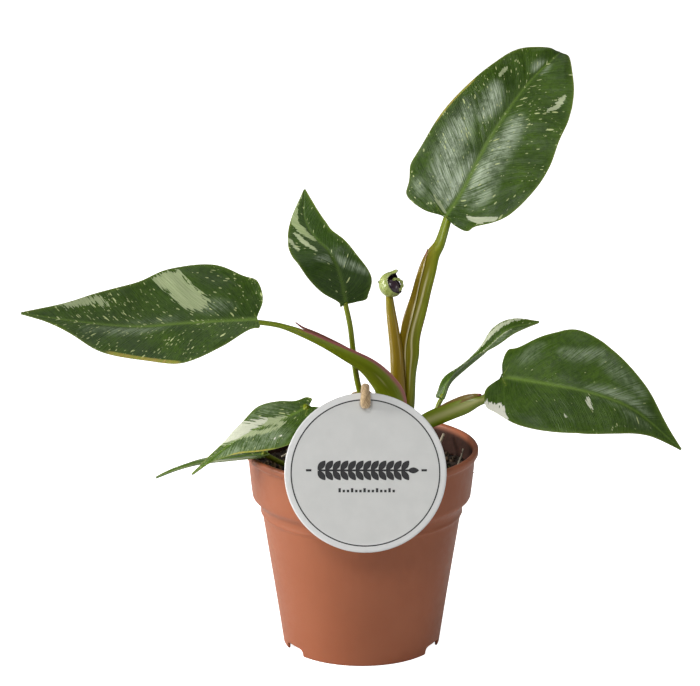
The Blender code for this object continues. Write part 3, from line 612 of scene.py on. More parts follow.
def add_stalk(name, swept, replaced=None, **masks):
    """A closed piece of what sweep returns, with its masks, in place of a node of the frame, if any."""
    masks = {"olive": 0.0, "blush": 0.0, "cream": 0.0} | masks
    piece = add_surface(name, swept[0], stalk_finish, swept[1], masks, (False, True), True)
    if replaced:
        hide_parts(replaced)


for key, stalk in SHEATHS.items():
    shape = stalk["width"], stalk["depth"], stalk["bow"], stalk["opens"]
    swept = sweep(run_on(stalk["path"]), *shape, 160, 72, 0.6)
    turn, t = swept[2:]
    arms = np.abs(np.cos(turn)) ** stalk["edge"] * step(along(stalk["bow"], t), 0.2, 1.4)
    left, right = stalk["olive"]
    # The ridge is a painted highlight: a pale line at one turn round the channel, over part of its length.
    ridge_turn, ridge_from, ridge_to, ridge_width, ridge_highlight = stalk["ridge"]
    ridge = ridge_highlight * np.exp(-(((turn - ridge_turn) / ridge_width) ** 2))
    ridge = ridge * step(t, ridge_from, ridge_from + 0.1) * step(t, ridge_to, ridge_to - 0.1)
    olive = (left + (right - left) * (0.5 + 0.5 * np.cos(turn))) * (1 - 0.8 * step(t, 0.78, 0.92))
    blush = np.clip(arms * stalk["blush"], 0, 1)
    add_stalk(f"sheath_{key}", swept, f"petiole_{key}", olive=olive, blush=blush, cream=ridge)
for key, stalk in THIN_STALKS.items():
    swept = sweep(run_on(stalk["path"]), stalk["radii"], stalk["radii"], [0], (0.2, -1, 0.4), 90, 24)
    add_stalk(f"stalk_{key}", swept, f"petiole_{key}", olive=0.15)

# The sheath of each of those three ends in a thin flap with a free tip.
FLAPS = {
    "a": ([(22, -3.6, 40), (20.9, -3.4, 54), (21, -1.6, 69.5), (26, 1.8, 89.5), (28.4, 3.2, 99),
           (31.2, 4.2, 108),
           (33.4, 4.2, 115.8)], [0.4, 1.8, 2.2, 2.2, 1.8, 1.2, 0.2], (-0.5, -1, 0.1), 0.3, 0.9, 0.9),
    "b": ([(10.4, -20.5, 55), (2, -24, 64.4), (-8.5, -27, 72), (-20.9, -30, 79.4), (-29, -32.2, 83.8),
           (-33, -33.4, 87)],
          [0.5, 1.1, 1.2, 1.1, 0.9, 0.3], (0, -1, 0.5), 0.8, 0.3, 0.0),
    "d": ([(33.8, -10, 31.6), (42, -12, 37.2), (50, -13, 41.4), (56, -13.4, 43.6), (60.6, -13, 44.2)],
          [0.5, 1.6, 1.8, 1.5, 0.4], (0, -1, 0.6), 0.5, 0.6, 0.0),
}
for key, (path, widths, opens, blushed, olive, creamy) in FLAPS.items():
    swept = sweep(np.array(path) + ABOVE_SOIL, widths, [0.45], [0.5], opens, 90, 24)
    turn, t = swept[2:]
    blush = blushed * (0.7 + 0.3 * np.cos(turn) ** 2) + 0.4 * step(t, 0.9, 1)
    # A painted highlight runs along one side of the flap.
    cream = creamy * step(np.cos(turn), 0.5, 0.9) * step(t, 0.1, 0.3) * step(t, 0.98, 0.85)
    add_stalk(f"flap_{key}", swept, olive=olive, blush=blush, cream=cream)

# The crown is ringed with old leaf scars.
level = np.linspace(0, 1, 60)
crown_radii = 8.6 + 0.5 * np.sin(level * 9) - 0.9 * np.exp(-(((level * 5) % 1 - 0.5) ** 2) / 0.006)
crown_path = np.array([(18, -8, -6), (18, -8, 4), (18, -8, 12), (18, -8, 20.2)]) + ABOVE_SOIL
swept = sweep(crown_path, crown_radii, crown_radii, [0], (0, -1, 0), 60, 48)
scars = 0.25 * step(np.sin(swept[3] * 31), 0.6, 1)
add_stalk("crown", swept, "crown_stem", olive=0.8, blush=scars)


# Leaves: leathery pointed blades, dark green with a paler rib, side veins that arch to the margin,
# many pale flecks along them, on most a few sage or white patches, and a painted sheen. Each is one
# closed sheet.
# midrib, faces, left, right, lobes, fold and curl give its shape; the rest is in the leaf's own
# millimetres, along the midrib and across it, minus to the left.
LEAVES = {
    "a": dict(
        midrib=[(42, 12, 131), (51, 18, 143), (62, 27, 163), (75, 36, 182), (87, 44, 196), (100, 52, 207),
                (103, 58, 208)],
        faces=[(-0.15, -1, 0.5), (-0.1, -1, 0.6), (0.1, -0.8, 0.9)],
        left=[25.5, 30, 29, 28, 25, 21, 15], right=[17, 28, 34, 35, 32, 29, 21],
        lobes=(3, 1.5), fold=8, curl=-8, quilting=0.4, flecks=0.5, green=0.35, margin=(-1, 43, 68, 1.6),
        sheens=[([(8, -9), (22, -13), (36, -15), (54, -18)], 6.5, 1.0),
                ([(56, -9), (64, -9), (72, -12)], 4.5, 0.9),
                ([(6, -2), (18, -4), (34, -2)], 5, 1.0), ([(14, 3), (30, 6), (46, 8), (62, 8)], 6, 0.9),
                ([(4, -18), (8, -22)], 4, 0.5), ([(12, 9), (26, 14)], 4, 0.6),
                ([(91, -2), (97, 0)], 3.5, 0.8)],
        strokes=[([(2, -1), (6, -11)], 1.0, 0.15), ([(6, 10), (8, 17), (12, 23)], 1.3, 0.35),
                 ([(75, 18), (81, 20), (89, 20)], 1.5, 0.2), ([(77, -14), (83, -14)], 1.0, 0.1)],
    ),
    "b": dict(
        midrib=[(-52, -38, 90), (-86, -42, 89), (-111, -45, 88), (-138, -48, 91), (-167, -50, 96)],
        faces=[(-0.1, -0.75, 1), (0, -0.75, 1)],
        left=[8, 19, 28, 24, 19, 6], right=[26, 34, 33, 26, 19, 9],
        lobes=(1, 4), fold=10, curl=-6, quilting=0.25, flecks=0.75, green=0.2, margin=(-1, 42, 72, 3.5),
        sheens=[([(40, 2), (66, -3), (84, -5)], 4, 0.35), ([(12, 8), (30, 9)], 4, 0.3)],
        patches=[([(50, 27), (43, 31), (36, 31), (32, 25), (29, 20), (23, 12), (27, 6), (35, 8), (40, 15),
                   (45, 22)], 0.08),
                 ([(101, 8), (88, 14), (78, 16), (74, 11), (84, 11), (94, 7)], 0.1)],
    ),
    "c": dict(
        midrib=[(-8, -20, 93), (-11, -24, 109), (-16, -22, 120), (-24, -12, 126), (-29, -2, 134),
                (-29, 8, 146)],
        faces=[(0.2, -1, 0.3), (-0.2, -0.5, 0.8), (-0.3, -0.9, 0.5)],
        left=[4, 12, 17, 17, 12, 5], right=[12, 15, 11, 9, 9, 7],
        lobes=(0, 0), fold=10, curl=-8, quilting=0.12, flecks=0.25, green=-0.3, rib=0.45,
        sheens=[([(30, -8), (26, -1), (21, 5), (15, 13)], 2.2, 0.6)],
        strokes=[([(69, -2), (63, -4.5), (55, -5), (48, -3), (41, -1)], 1.9, 0.0),
                 ([(50, -7.5), (42, -6), (34, -5)], 1.2, 0.15),
                 ([(50, -12), (45, -11.5), (40, -11)], 0.9, 0.15)],
    ),
    "d": dict(
        midrib=[(71, -14, 54), (92, -24, 53), (114, -30, 50), (136, -34, 42), (160, -36, 22)],
        faces=[(0.1, -1, 0.7), (0.3, -1, 0.5)],
        left=[17, 26, 31, 25, 15, 6], right=[21, 25, 25, 22, 16, 6],
        lobes=(2, 6), fold=6, curl=-8, quilting=0.2, flecks=0.08, green=0.35,
        sheens=[([(28, -18), (38, -18), (46, -22)], 3.5, 0.4), ([(48, -18), (58, -14), (70, -9)], 4, 0.35),
                ([(45, -1), (56, -2), (78, -2)], 4, 0.5), ([(8, -10), (16, -19)], 4, 0.25),
                ([(66, 3), (80, 2)], 4, 0.25)],
        patches=[([(-9, 15), (0, 16), (4, 15), (7, 19), (11, 22), (13, 30), (0, 30)], 1.0)],
        strokes=[([(46, 3), (48, 6), (50, 8)], 0.9, 0.6), ([(36, 15), (38, 16)], 0.5, 0.6)],
    ),
    "e": dict(
        midrib=[(41, 17, 34), (45, 18, 43), (53, 20, 50), (64, 22, 58.5), (76, 24, 69), (92, 26, 72.5)],
        faces=[(-0.8, -0.45, 0.35), (-0.75, 0.16, 0.63), (-0.5, -0.45, 0.74), (-0.3, -0.6, 0.7)],
        left=[4, 6, 6, 5.5, 6.5, 4.5], right=[5, 7, 5.5, 6.5, 8, 5],
        lobes=(1, 1), fold=14, curl=-6, quilting=0.1, flecks=0.1, green=0.4,
        strokes=[([(16, -5), (30, -5.5), (44, -4.5), (60, -3.5)], 1.5, 0.4),
                 ([(24, -0.5), (38, 0.5), (52, 1.5)], 0.8, 0.4),
                 ([(12, 3), (24, 4), (34, 5)], 0.9, 0.2)],
        sheens=[([(20, 3), (40, 4), (56, 4)], 3.5, 0.45)],
    ),
    "f": dict(
        midrib=[(-27, -34, 44), (-37, -38, 40), (-56, -42, 33), (-68, -44, 25.5), (-85, -45, 12)],
        faces=[(-0.2, -0.5, 1), (-0.4, -0.5, 0.8)],
        left=[16, 20, 20, 16, 8, 2.5], right=[7, 12, 14, 8, 4, 2],
        lobes=(5, 4), fold=6, curl=-12, quilting=0.15, flecks=0.5, green=0.5, margin=(-1, 26, 44, 1.6),
        patches=[([(50, 5), (40, 10), (34, 9), (31, 7), (24, 5), (18, 3), (11, 1), (16, -1), (14, -5),
                   (20, -7), (27, -6), (34, -3), (42, 0)], 0.12),
                 ([(46, 6), (40, 10), (34, 9), (29, 6.5), (24, 4.5), (30, 3.5), (38, 3)], 0.7)],
        islands=[[(18, -4), (21, -1.5), (26, 0.5), (30, 1), (28, -2), (25, -4)]],
        sheens=[([(20, -12), (36, -10), (50, -5)], 9, 0.45), ([(8, 2), (20, 9), (34, 11)], 6, 0.3)],
        strokes=[([(22, -13), (23, -12.5)], 0.8, 0.9), ([(19, -13), (19.5, -12.5)], 0.6, 0.9)],
    ),
    "g": dict(
        midrib=[(-48, -24, 16.5), (-64, -26, 15), (-80, -28, 13.4), (-92, -29, 10.4), (-104, -30, 5.6)],
        faces=[(-0.1, -0.08, 1), (-0.3, -0.08, 1)],
        left=[6, 8, 7, 4, 3, 2], right=[6, 7, 5, 3.5, 2.5, 2],
        lobes=(1, 1), fold=10, curl=-4, quilting=0.1, flecks=0.2, green=0.6,
        strokes=[([(6, -6), (18, -6), (30, -4)], 1.6, 0.3)],
        sheens=[([(10, -2), (30, 0), (56, 0)], 6, 0.9)],
    ),
}
THICKNESS = 0.45


class Blade:
    """The upper side of a leaf as a function of millimetres along and across it."""

    def __init__(self, leaf):
        """Carries a frame along the midrib: its tangent, the way the blade faces, and its right."""
        self.leaf = leaf
        self.line, self.length = smooth_curve(np.array(leaf["midrib"]) + ABOVE_SOIL, 200)
        self.steps = np.linspace(0, 1, 200)
        self.tangent = unit(np.gradient(self.line, axis=0))
        face = np.stack([along([f[k] for f in leaf["faces"]], self.steps) for k in range(3)], 1)
        self.face = unit(face - (face * self.tangent).sum(1, keepdims=True) * self.tangent)
        self.right = np.cross(self.tangent, self.face)

    def point(self, length, across):
        """A point that far along the midrib and across it, on halves folded up and curled."""
        t = length / self.length
        inside = np.clip(t, 0, 1)
        centre, tangent, face, right = (
            np.stack([np.interp(inside, self.steps, table[:, k]) for k in range(3)], -1)
            for table in (self.line, self.tangent, self.face, self.right)
        )
        centre = centre + (np.minimum(t, 0) + np.maximum(t - 1, 0))[..., None] * self.length * tangent
        x = np.abs(across)
        fold = math.radians(self.leaf["fold"])
        angle = np.radians(self.leaf["curl"]) * x / 30 - 1e-6
        out = x * (np.sin(fold + angle) - math.sin(fold)) / angle
        up = x * (math.cos(fold) - np.cos(fold + angle)) / angle
        return centre + (np.sign(across) * out)[..., None] * right + up[..., None] * face

    def edge(self, side, count):
        """The outline from the petiole round a lobe to the tip, as lengths along and across."""
        widths = np.array(self.leaf["left" if side < 0 else "right"], float)
        lobe = self.leaf["lobes"][side > 0]
        stations = self.length * np.arange(len(widths)) / len(widths)
        stations[0] = 0.04 * self.length
        corner = [(0, 0.5), (-lobe, 0.42 * widths[0]), (-0.55 * lobe, 0.85 * widths[0])]
        outline, _ = smooth_curve([*corner, *zip(stations, widths), (self.length, 0.4)], count)
        return outline[:, 0], side * outline[:, 1]

    def grid(self, rows, half):
        """Lengths along and across, and the share of the way to the edge, of each point: each row
        runs from the left edge over the midrib to the right."""
        mid = self.length * np.linspace(0, 1, rows)[:, None] ** 1.5
        v = np.sin(np.linspace(0, 1, half + 1) * math.pi / 2)[None, :] ** 0.9
        lengths, acrosses, shares = [], [], []
        for side in (-1, 1):
            length, across = (k[:, None] for k in self.edge(side, rows))
            lengths.append(mid + (length - mid) * v**1.25)
            acrosses.append(across * v)
            shares.append(np.broadcast_to(v, (rows, half + 1)))
        return [np.concatenate([k[0][:, :0:-1], k[1]], 1) for k in (lengths, acrosses, shares)]


def depth_inside(points, outline):
    """Distance to an outline's edge, positive inside it, from the nearest point of each side and the
    count of sides crossed by a ray."""
    outline = np.array(outline, float)
    nearest, crossed = np.full(points.shape[:-1], 1e9), np.zeros(points.shape[:-1], int)
    for a, b in zip(outline, np.roll(outline, -1, 0)):
        share = np.clip(((points - a) @ (b - a)) / ((b - a) @ (b - a)), 0, 1)
        nearest = np.minimum(nearest, np.linalg.norm(points - a - share[..., None] * (b - a), axis=-1))
        between_ends = (points[..., 1] > a[1]) != (points[..., 1] > b[1])
        where = a[0] + (points[..., 1] - a[1]) * (b[0] - a[0]) / (b[1] - a[1] if b[1] != a[1] else 1)
        crossed += between_ends & (points[..., 0] < where)
    return np.where(crossed % 2 == 1, nearest, -nearest)


def depth_in_stroke(points, line, half_width):
    """How far inside a line drawn with a round, tapering brush a point lies, minus outside it."""
    line, _ = smooth_curve(line, 24) if len(line) > 2 else (np.linspace(*np.array(line, float), 24), 0)
    taper = half_width * np.sin(np.linspace(0.12, 0.88, 24) * math.pi) ** 0.7
    away = np.linalg.norm(points[..., None, :] - line, axis=-1)
    return (taper - away).max(-1)


# Flecks: scattered irregular specks, a share of the cells of a Voronoi pattern.
FLECKS, entry, leave = new_group("flecks", {"Vector": None, "Scale": 40.0, "Share": 0.15, "Size": 0.3},
                                 ("Mask",))
wobble = put(FLECKS, "TexNoise", {"Vector": entry["Vector"], "Scale": times(FLECKS, entry["Scale"], 2.5)})
shift = put(FLECKS, "VectorMath", {0: wobble.outputs["Color"], "Scale": 0.012},
            operation="SCALE").outputs[0]
shifted = put(FLECKS, "VectorMath", {0: entry["Vector"], 1: shift}, operation="ADD").outputs[0]
cells = put(FLECKS, "TexVoronoi", {"Vector": shifted, "Scale": entry["Scale"]})
chosen = put(FLECKS, "SeparateColor", {"Color": cells.outputs["Color"]}).outputs
kept = calc(FLECKS, "LESS_THAN", chosen["Red"], entry["Share"])
reach = times(FLECKS, entry["Size"], plus(FLECKS, calc(FLECKS, "POWER", chosen["Green"], 2.5), 0.3))
inside = between(FLECKS, calc(FLECKS, "SUBTRACT", reach, cells.outputs["Distance"]), 0.0, 0.06)
FLECKS.links.new(times(FLECKS, kept, inside), leave["Mask"])

leaf_finish, tree, shader = new_finish("flecked_leaf", 0.36, Specular_IOR_Level=0.2, Coat_Roughness=0.25)
run = put(tree, "UVMap", uv_map="run").outputs[0]
veins = put(tree, "UVMap", uv_map="veins").outputs[0]
turned_veins = put(tree, "VectorRotate", {"Vector": veins, "Angle": math.pi / 2},
                   rotation_type="Z_AXIS").outputs[0]
lines = use(tree, STREAKS, {"Vector": turned_veins, "Across": 130.0, "Along": 9.0})
broad = noise(tree, run, 6.0, 4)
cells = noise(tree, run, 220.0, 3, 0.7)
fresh = between(tree, plus(tree, broad, times(tree, mask(tree, "green"), 0.5)), 0.35, 0.95)
green = blend(tree, fresh, (0.022, 0.052, 0.003), (0.054, 0.108, 0.006))
mottle = noise(tree, run, 42.0, 4, 0.65)
green = blend(tree, between(tree, mottle, 0.56, 0.4, 0.0, 0.45), green, (0.013, 0.033, 0.002))
green = blend(tree, times(tree, between(tree, lines["Lines"], 0.45, 0.75), 0.3), green,
              (0.085, 0.155, 0.018))
# Painted sheen: where the skin would catch the light, the colour turns silver-green in thin lines that
# follow the veins.
painted_sheen = times(tree, mask(tree, "sheen"), between(tree, lines["Lines"], 0.38, 0.58, 0.22, 1.0))
patchy = between(tree, plus(tree, broad, times(tree, mottle, 0.5)), 0.6, 0.85, 0.3, 1.0)
painted_sheen = times(tree, painted_sheen, patchy)
green = blend(tree, painted_sheen, green, (0.47, 0.55, 0.41))
edge = mask(tree, "edge")
fringe = plus(tree, edge, times(tree, broad, 3.0))
green = blend(tree, between(tree, fringe, 4.5, 0.8, 0.0, 0.45), green, (0.1, 0.17, 0.012))
green = blend(tree, between(tree, edge, 0.6, 0.2, 0.0, 0.5), green, (0.24, 0.27, 0.06))
rib = mask(tree, "rib")
green = blend(tree, times(tree, rib, 0.8), green, (0.15, 0.25, 0.035))
flecked = mask(tree, "flecked")
flecks, dots = (
    use(tree, FLECKS, {
        "Vector": stretched(tree, turned_veins, scale), "Scale": 1.0, "Share": times(tree, flecked, share),
        "Size": size,
    })["Mask"]
    for scale, share, size in (((28, 80, 1), 0.26, 0.4), ((85, 125, 1), 0.34, 0.5))
)
spots = calc(tree, "MAXIMUM", flecks, times(tree, dots, 0.7))
green = blend(tree, spots, green, blend(tree, broad, (0.36, 0.42, 0.13), (0.6, 0.66, 0.36)))
torn = noise(tree, stretched(tree, turned_veins, (14, 80, 1)), 1.0, 3, 0.6)
ragged = times(tree, calc(tree, "SUBTRACT", torn, 0.5), 11.0)
pale = between(tree, plus(tree, mask(tree, "pale"), ragged), -0.12, 0.12)
sage = blend(tree, between(tree, lines["Lines"], 0.4, 0.7), (0.27, 0.34, 0.15), (0.36, 0.42, 0.21))
sage = blend(tree, mask(tree, "whiteness"), sage, (0.7, 0.7, 0.6))
base = blend(tree, pale, green, sage)
warm = between(tree, plus(tree, mask(tree, "warm"), times(tree, broad, 0.5)), 0.6, 1.1)
golden = blend(tree, lines["Tone"], (0.3, 0.35, 0.035), (0.46, 0.33, 0.07))
base = blend(tree, times(tree, warm, 0.75), base, golden)
under = blend(tree, between(tree, lines["Lines"], 0.35, 0.75), (0.12, 0.2, 0.075), (0.17, 0.26, 0.11))
under = blend(tree, rib, under, (0.24, 0.33, 0.12))
under = blend(tree, times(tree, pale, 0.8), under, sage)
base = blend(tree, mask(tree, "under"), base, under)
tree.links.new(base, shader.inputs["Base Color"])
gloss = between(tree, lines["Lines"], 0.3, 0.75, 0.24, 0.4)
gloss = plus(tree, gloss, times(tree, mask(tree, "under"), 0.2))
tree.links.new(gloss, shader.inputs["Roughness"])
shader.inputs["Coat Weight"].default_value = 0.05
relief(tree, shader, plus(tree, lines["Lines"], times(tree, cells, 0.25)), 0.35)

for key, leaf in LEAVES.items():
    blade = Blade(leaf)
    rows, half = 170, 44
    length, across, share = blade.grid(rows, half)
    t = np.clip(length / blade.length, 0, 1)
    side = np.abs(across)
    # A side vein leaves the midrib and arches to the tip: along it, this length stays the same.
    from_base = length - (0.55 * side + 9 * (1 - np.exp(-side / 10))) * (0.3 + 0.7 * step(t, 0.0, 0.3))
    left_reach, right_reach = (np.interp(length, *(np.abs(k) for k in blade.edge(s, 400))) for s in (-1, 1))
    reach = np.where(across < 0, left_reach, right_reach)
    to_edge = np.minimum(np.abs(reach - side),
                         (1 - share) * np.maximum(side, 1.0) / np.maximum(share, 0.02))
    surface = blade.point(length, across)
    turned = unit(np.cross(np.gradient(surface, axis=0), np.gradient(surface, axis=1)))
    normal = turned * np.sign((turned * blade.face[0]).sum(-1).mean())
    channel = np.exp(-((side / (1.15 - 0.75 * t)) ** 2))
    quilt = rough(np.stack([from_base / 4.5, across / 22], -1), 1, 4)
    quilt = quilt + 0.5 * rough(np.stack([from_base / 1.8, across / 16], -1), 1, 7)
    body = step(side, 1, 7) * step(share, 1.0, 0.72)
    where = np.stack([length, across], -1)
    swell = leaf["quilting"] * quilt * body + 0.7 * rough(where, 17, 5) * body
    ripple = 0.35 * rough(where, 11, 6) * step(share, 0.75, 1)
    top = surface + normal * (swell + ripple - 0.35 * channel * (1 - 0.6 * t))[..., None]
    ridge = (1.3 * (1 - t) + 0.25) * np.exp(-((side / 1.1) ** 2))
    below = top - normal * (THICKNESS * (0.35 + 0.65 * step(share, 1.0, 0.9)) + ridge)[..., None]
    both = np.concatenate([top, below[:, ::-1]], 1)

    pale, whiteness = np.full(length.shape, -9.0), np.zeros(length.shape)
    for outline, white in leaf.get("patches", []):
        depth = depth_inside(where, outline)
        pale, whiteness = np.maximum(pale, depth), np.where(depth > -3, white, whiteness)
    for island in leaf.get("islands", []):
        pale = np.minimum(pale, -depth_inside(where, island))
    for line, half_width, white in leaf.get("strokes", []):
        depth = depth_in_stroke(where, line, half_width)
        pale, whiteness = np.maximum(pale, 3 * depth), np.where(depth > -1.5, white, whiteness)
    warm = np.zeros(length.shape)
    if "margin" in leaf:
        side_sign, start, end, wide = leaf["margin"]
        within = step(length, start - 8, start + 4) * step(length, end + 8, end - 4)
        warm = within * (np.sign(across) == side_sign) * step(to_edge, wide, 0.3 * wide)
    # Each sheen is a painted reflection: a stroke in the leaf's millimetres where the colour turns
    # silver-green.
    sheen = np.zeros(length.shape)
    for line, half_width, strength in leaf.get("sheens", []):
        depth = depth_in_stroke(where, line, half_width)
        sheen = np.maximum(sheen, strength * step(depth, -0.7 * half_width, 0.9 * half_width))
    flecked = leaf["flecks"] * (0.3 + 0.7 * step(rough(where, 14, 8), -0.5, 0.4))
    masks = {
        "edge": to_edge, "rib": leaf.get("rib", 1) * channel * (1 - 0.5 * t), "pale": pale,
        "whiteness": whiteness, "warm": warm, "flecked": flecked, "green": leaf["green"] + 0 * t,
        "sheen": sheen * step(side, 0.5, 2.5),
    }
    masks = {name: np.concatenate([values, values[:, ::-1]], 1) for name, values in masks.items()}
    masks["under"] = np.concatenate([np.zeros(length.shape), np.ones(length.shape)], 1)
    vein = np.stack([from_base, across], -1)
    wrapped = [np.concatenate([k, k[:, ::-1], k[:, :1]], 1) / 100 for k in (where, vein)]
    flip = bool(np.median((turned * normal).sum(-1)) < 0)
    piece = add_surface(
        f"leaf_{key}", both, leaf_finish, wrapped[0], masks, (False, True), True, flip, wrapped[1],
    )
    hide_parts(f"blade_{key}")


# New leaf: a tapering golden-olive stalk, and on it the rolled blade, pale green outside and dark
# purple within, its outer tip hooked up.
stem_path = np.array([
    (18, -8, 10), (17.6, -7.6, 16), (17.6, -7.4, 21.1), (18.8, -8, 38), (18, -7.2, 55.4),
    (17.4, -5.2, 65.4), (16.1, -3, 75.4), (14.8, -1, 84.3), (13.8, -0.2, 93.2),
])
stem_radii = [3.6, 3.6, 3.5, 3.5, 3.4, 3.1, 2.6, 1.8]
swept = sweep(stem_path + ABOVE_SOIL, stem_radii, stem_radii, [0], (0, -1, 0), 110, 36)
t = swept[3]
add_stalk(
    "new_leaf_stem", swept, "new_leaf_stalk", olive=1 - 0.35 * step(t, 0.8, 1),
    blush=0.2 * step(t, 0.5, 0.1),
)

bud_finish, tree, shader = new_finish("rolled_leaf", 0.3, Coat_Weight=0.45, Coat_Roughness=0.12)
run = put(tree, "UVMap", uv_map="run").outputs[0]
lines = use(tree, STREAKS, {"Vector": run, "Across": 50.0, "Along": 22.0})
outside = blend(tree, lines["Tone"], (0.25, 0.31, 0.06), (0.42, 0.47, 0.16))
outside = blend(tree, between(tree, lines["Lines"], 0.6, 0.7), outside, (0.66, 0.68, 0.4))
purple = blend(tree, lines["Tone"], (0.012, 0.006, 0.01), (0.05, 0.02, 0.035))
tree.links.new(blend(tree, mask(tree, "dark"), outside, purple), shader.inputs["Base Color"])
relief(tree, shader, lines["Lines"], 0.3)
# The bowl is a ball with one wide hole, which faces the front right. Its size in degrees from the far
# pole changes round the hole, and where it is largest the wall runs out into the hook.
scroll_at = np.array([15.0, 0, 98.4]) + ABOVE_SOIL
hole_faces = unit(np.array([0.59, -0.645, 0.484]))
hole_up = unit(np.array([0, 0, 1]) - hole_faces[2] * hole_faces)
hole_side = np.cross(hole_faces, hole_up)
columns, rows = 144, 60
round_hole = np.linspace(0, 2 * math.pi, columns, endpoint=False)[None, :]
way = np.degrees(round_hole[0] + math.radians(13)) % 360
reach = np.interp(
    way, [0, 14, 45, 70, 105, 150, 190, 216, 255, 300, 335, 360],
    [150, 146, 131, 127, 125, 121, 117, 109, 88, 84, 106, 150],
)
reach = np.convolve(np.concatenate([reach[-4:], reach, reach[:4]]), np.ones(9) / 9, "valid")[None, :]
hook = np.exp(-(((way + 180) % 360 - 180) / 19) ** 2)[None, :]
share = np.linspace(0, 1, rows)[:, None]
polar = np.radians(reach) * share**0.8
ribs = 0.16 * np.sin(9 * round_hole + 5 * share) * step(share, 0.5, 1)
radius = 6.2 + 2.1 * hook * step(share, 0.62, 1.0) + ribs
away = np.cos(round_hole)[..., None] * hole_up + np.sin(round_hole)[..., None] * hole_side
shell = -np.cos(polar)[..., None] * hole_faces + np.sin(polar)[..., None] * away
wall = np.clip(1 - share**14, 0.2, 1) * 0.3
outer, within = (scroll_at + shell * (radius + side * wall)[..., None] for side in (1, -1))
dark = step(share, 0.965, 1.0) + 0 * round_hole
uv_rows, uv_columns = np.linspace(0, 0.2, 2 * rows), np.linspace(0, 0.4, columns + 1)
uv = np.stack(np.meshgrid(uv_rows, uv_columns, indexing="ij"), -1)
dark = {"dark": np.concatenate([dark, np.ones_like(dark)])}
piece = add_surface(
    "rolled_leaf", np.concatenate([outer, within[::-1]]), bud_finish, uv, dark,
    (False, True), True,
)
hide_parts("new_leaf_scroll")

# Inside the bowl lie the dark roll and, at its right, the wavy edge of the blade; a small spike is
# left at the bowl's left side.
inner_roll = sweep(
    scroll_at + np.array([(-2.6, -1.5, 3.2), (-0.8, -2.6, 1.4), (1.2, -3.1, -0.8), (3.6, -2.6, -3.2)]),
    [0.5, 2.3, 3.0, 2.6, 0.7], [0.4, 1.8, 2.2, 1.9, 0.6], [0], (0.4, -1, 0.5), 60, 40,
)
wavy_edge = sweep(
    scroll_at + np.array([
        (0.4, -2.8, 3.0), (2.4, -3.0, 3.6), (4.4, -2.4, 2.6), (5.4, -1.6, 0.6), (4.9, -2.2, -1.4),
        (3.6, -3.0, -2.6),
    ]),
    [0.35, 0.8, 0.55, 1.0, 0.6, 1.05, 0.6, 0.95, 0.55, 0.8, 0.3],
    [0.3, 0.5, 0.35, 0.55, 0.35, 0.55, 0.35, 0.5, 0.3],
    [0, 0.3, -0.2, 0.4, -0.2, 0.3, 0], (0.2, -1, 0.3), 110, 24,
)
spike = sweep(
    scroll_at + np.array([(-5.2, -1, 0.4), (-6.2, -1, 1.2), (-6.9, -1, 2.0)]),
    [1.0, 0.6, 0.25], [0.8, 0.5, 0.25], [0], (0, -1, 0), 24, 16,
)
dark_edge = 0.5 * step(np.cos(wavy_edge[2]), 0.7, 1.0)
for name, swept, dark in (("roll", inner_roll, 1.0), ("edge", wavy_edge, dark_edge),
                          ("spike", spike, 0.35)):
    add_surface(
        "new_leaf_" + name, swept[0], bud_finish, swept[1], {"dark": dark}, (False, True), True,
    )


# Roots, stubs and a fibre: dry woody bits that stand out of the soil.
root_finish, tree, shader = new_finish("dry_root", 0.8)
run = put(tree, "UVMap", uv_map="run").outputs[0]
lines = use(tree, STREAKS, {"Vector": run, "Across": 200.0, "Along": 20.0})
base = blend(tree, lines["Tone"], (0.2, 0.125, 0.06), (0.36, 0.25, 0.13))
base = blend(tree, mask(tree, "bleached"), base, (0.6, 0.54, 0.42))
tree.links.new(base, shader.inputs["Base Color"])
relief(tree, shader, lines["Lines"], 0.5)
ROOTS = {
    "stub_left": ([(-48.2, -9, -3), (-48.3, -9.2, 2), (-48.4, -9.5, 7.8)], 1.0, 0.2),
    "stub_middle": ([(-45.2, -10, -3), (-45.3, -10, 3), (-45, -10, 9.4)], 1.2, 0.1),
    "stub_right": ([(-41.6, -14, -3), (-41.5, -14, 2), (-41.9, -14, 7.2)], 0.8, 0.0),
    "aerial_root": ([(-15, 5, -2), (-19.5, 0.6, 5.6), (-24, -3, 9.8), (-33, -8.5, 13.4),
                     (-41, -11.5, 10.8)], 0.7, 0.9),
    "dry_root": ([(35, 17, -2), (39, 21, 3.6), (41, 25, 7), (43.2, 29, 10.8)], 0.9, 0.6),
    "fibre": ([(48.8, 4, -2), (50.4, 3, 4), (51.4, 2, 7), (52.2, 0, 11.4)], 0.5, 1.0),
}
for name, (path, size, bleached) in ROOTS.items():
    sizes = [size, 0.95 * size, 0.75 * size]
    grid, uv = sweep(np.array(path) + ABOVE_SOIL, sizes, sizes, [0], (0.3, -1, 0.2), 60, 16)[:2]
    middle = grid.mean(1, keepdims=True)
    grid = middle + (grid - middle) * (1 + 0.16 * rough(grid, 1.3, 9))[..., None]
    piece = add_surface(
        name + "_grown", grid, root_finish, uv, {"bleached": bleached}, (False, True), True,
    )
    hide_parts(name)


# Plant tag: a round card of coated board, leaning on the rim, with one hole near its top. It carries a
# printed ring, and a sprig between two dashes over a row of dots.
card_low, card_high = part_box("plant_tag")
tag_centre = (np.array(card_low) + np.array(card_high)) / 2 / MM
TAG_RADIUS, HOLE_RADIUS, HOLE_BELOW_TOP, LEAN = 40.0, 2.6, 5.2, 0.12
tag_up, tag_out = unit(np.array([0, LEAN, 1])), unit(np.array([0, -1, LEAN]))


def on_tag(across, height, out):
    """Points on the tag: so far across and up from its centre, and out of its middle plane."""
    across, height, out = np.broadcast_arrays(across, height, out)
    sideways = np.stack([across, 0 * across, 0 * across], -1)
    return tag_centre + sideways + height[..., None] * tag_up + out[..., None] * tag_out


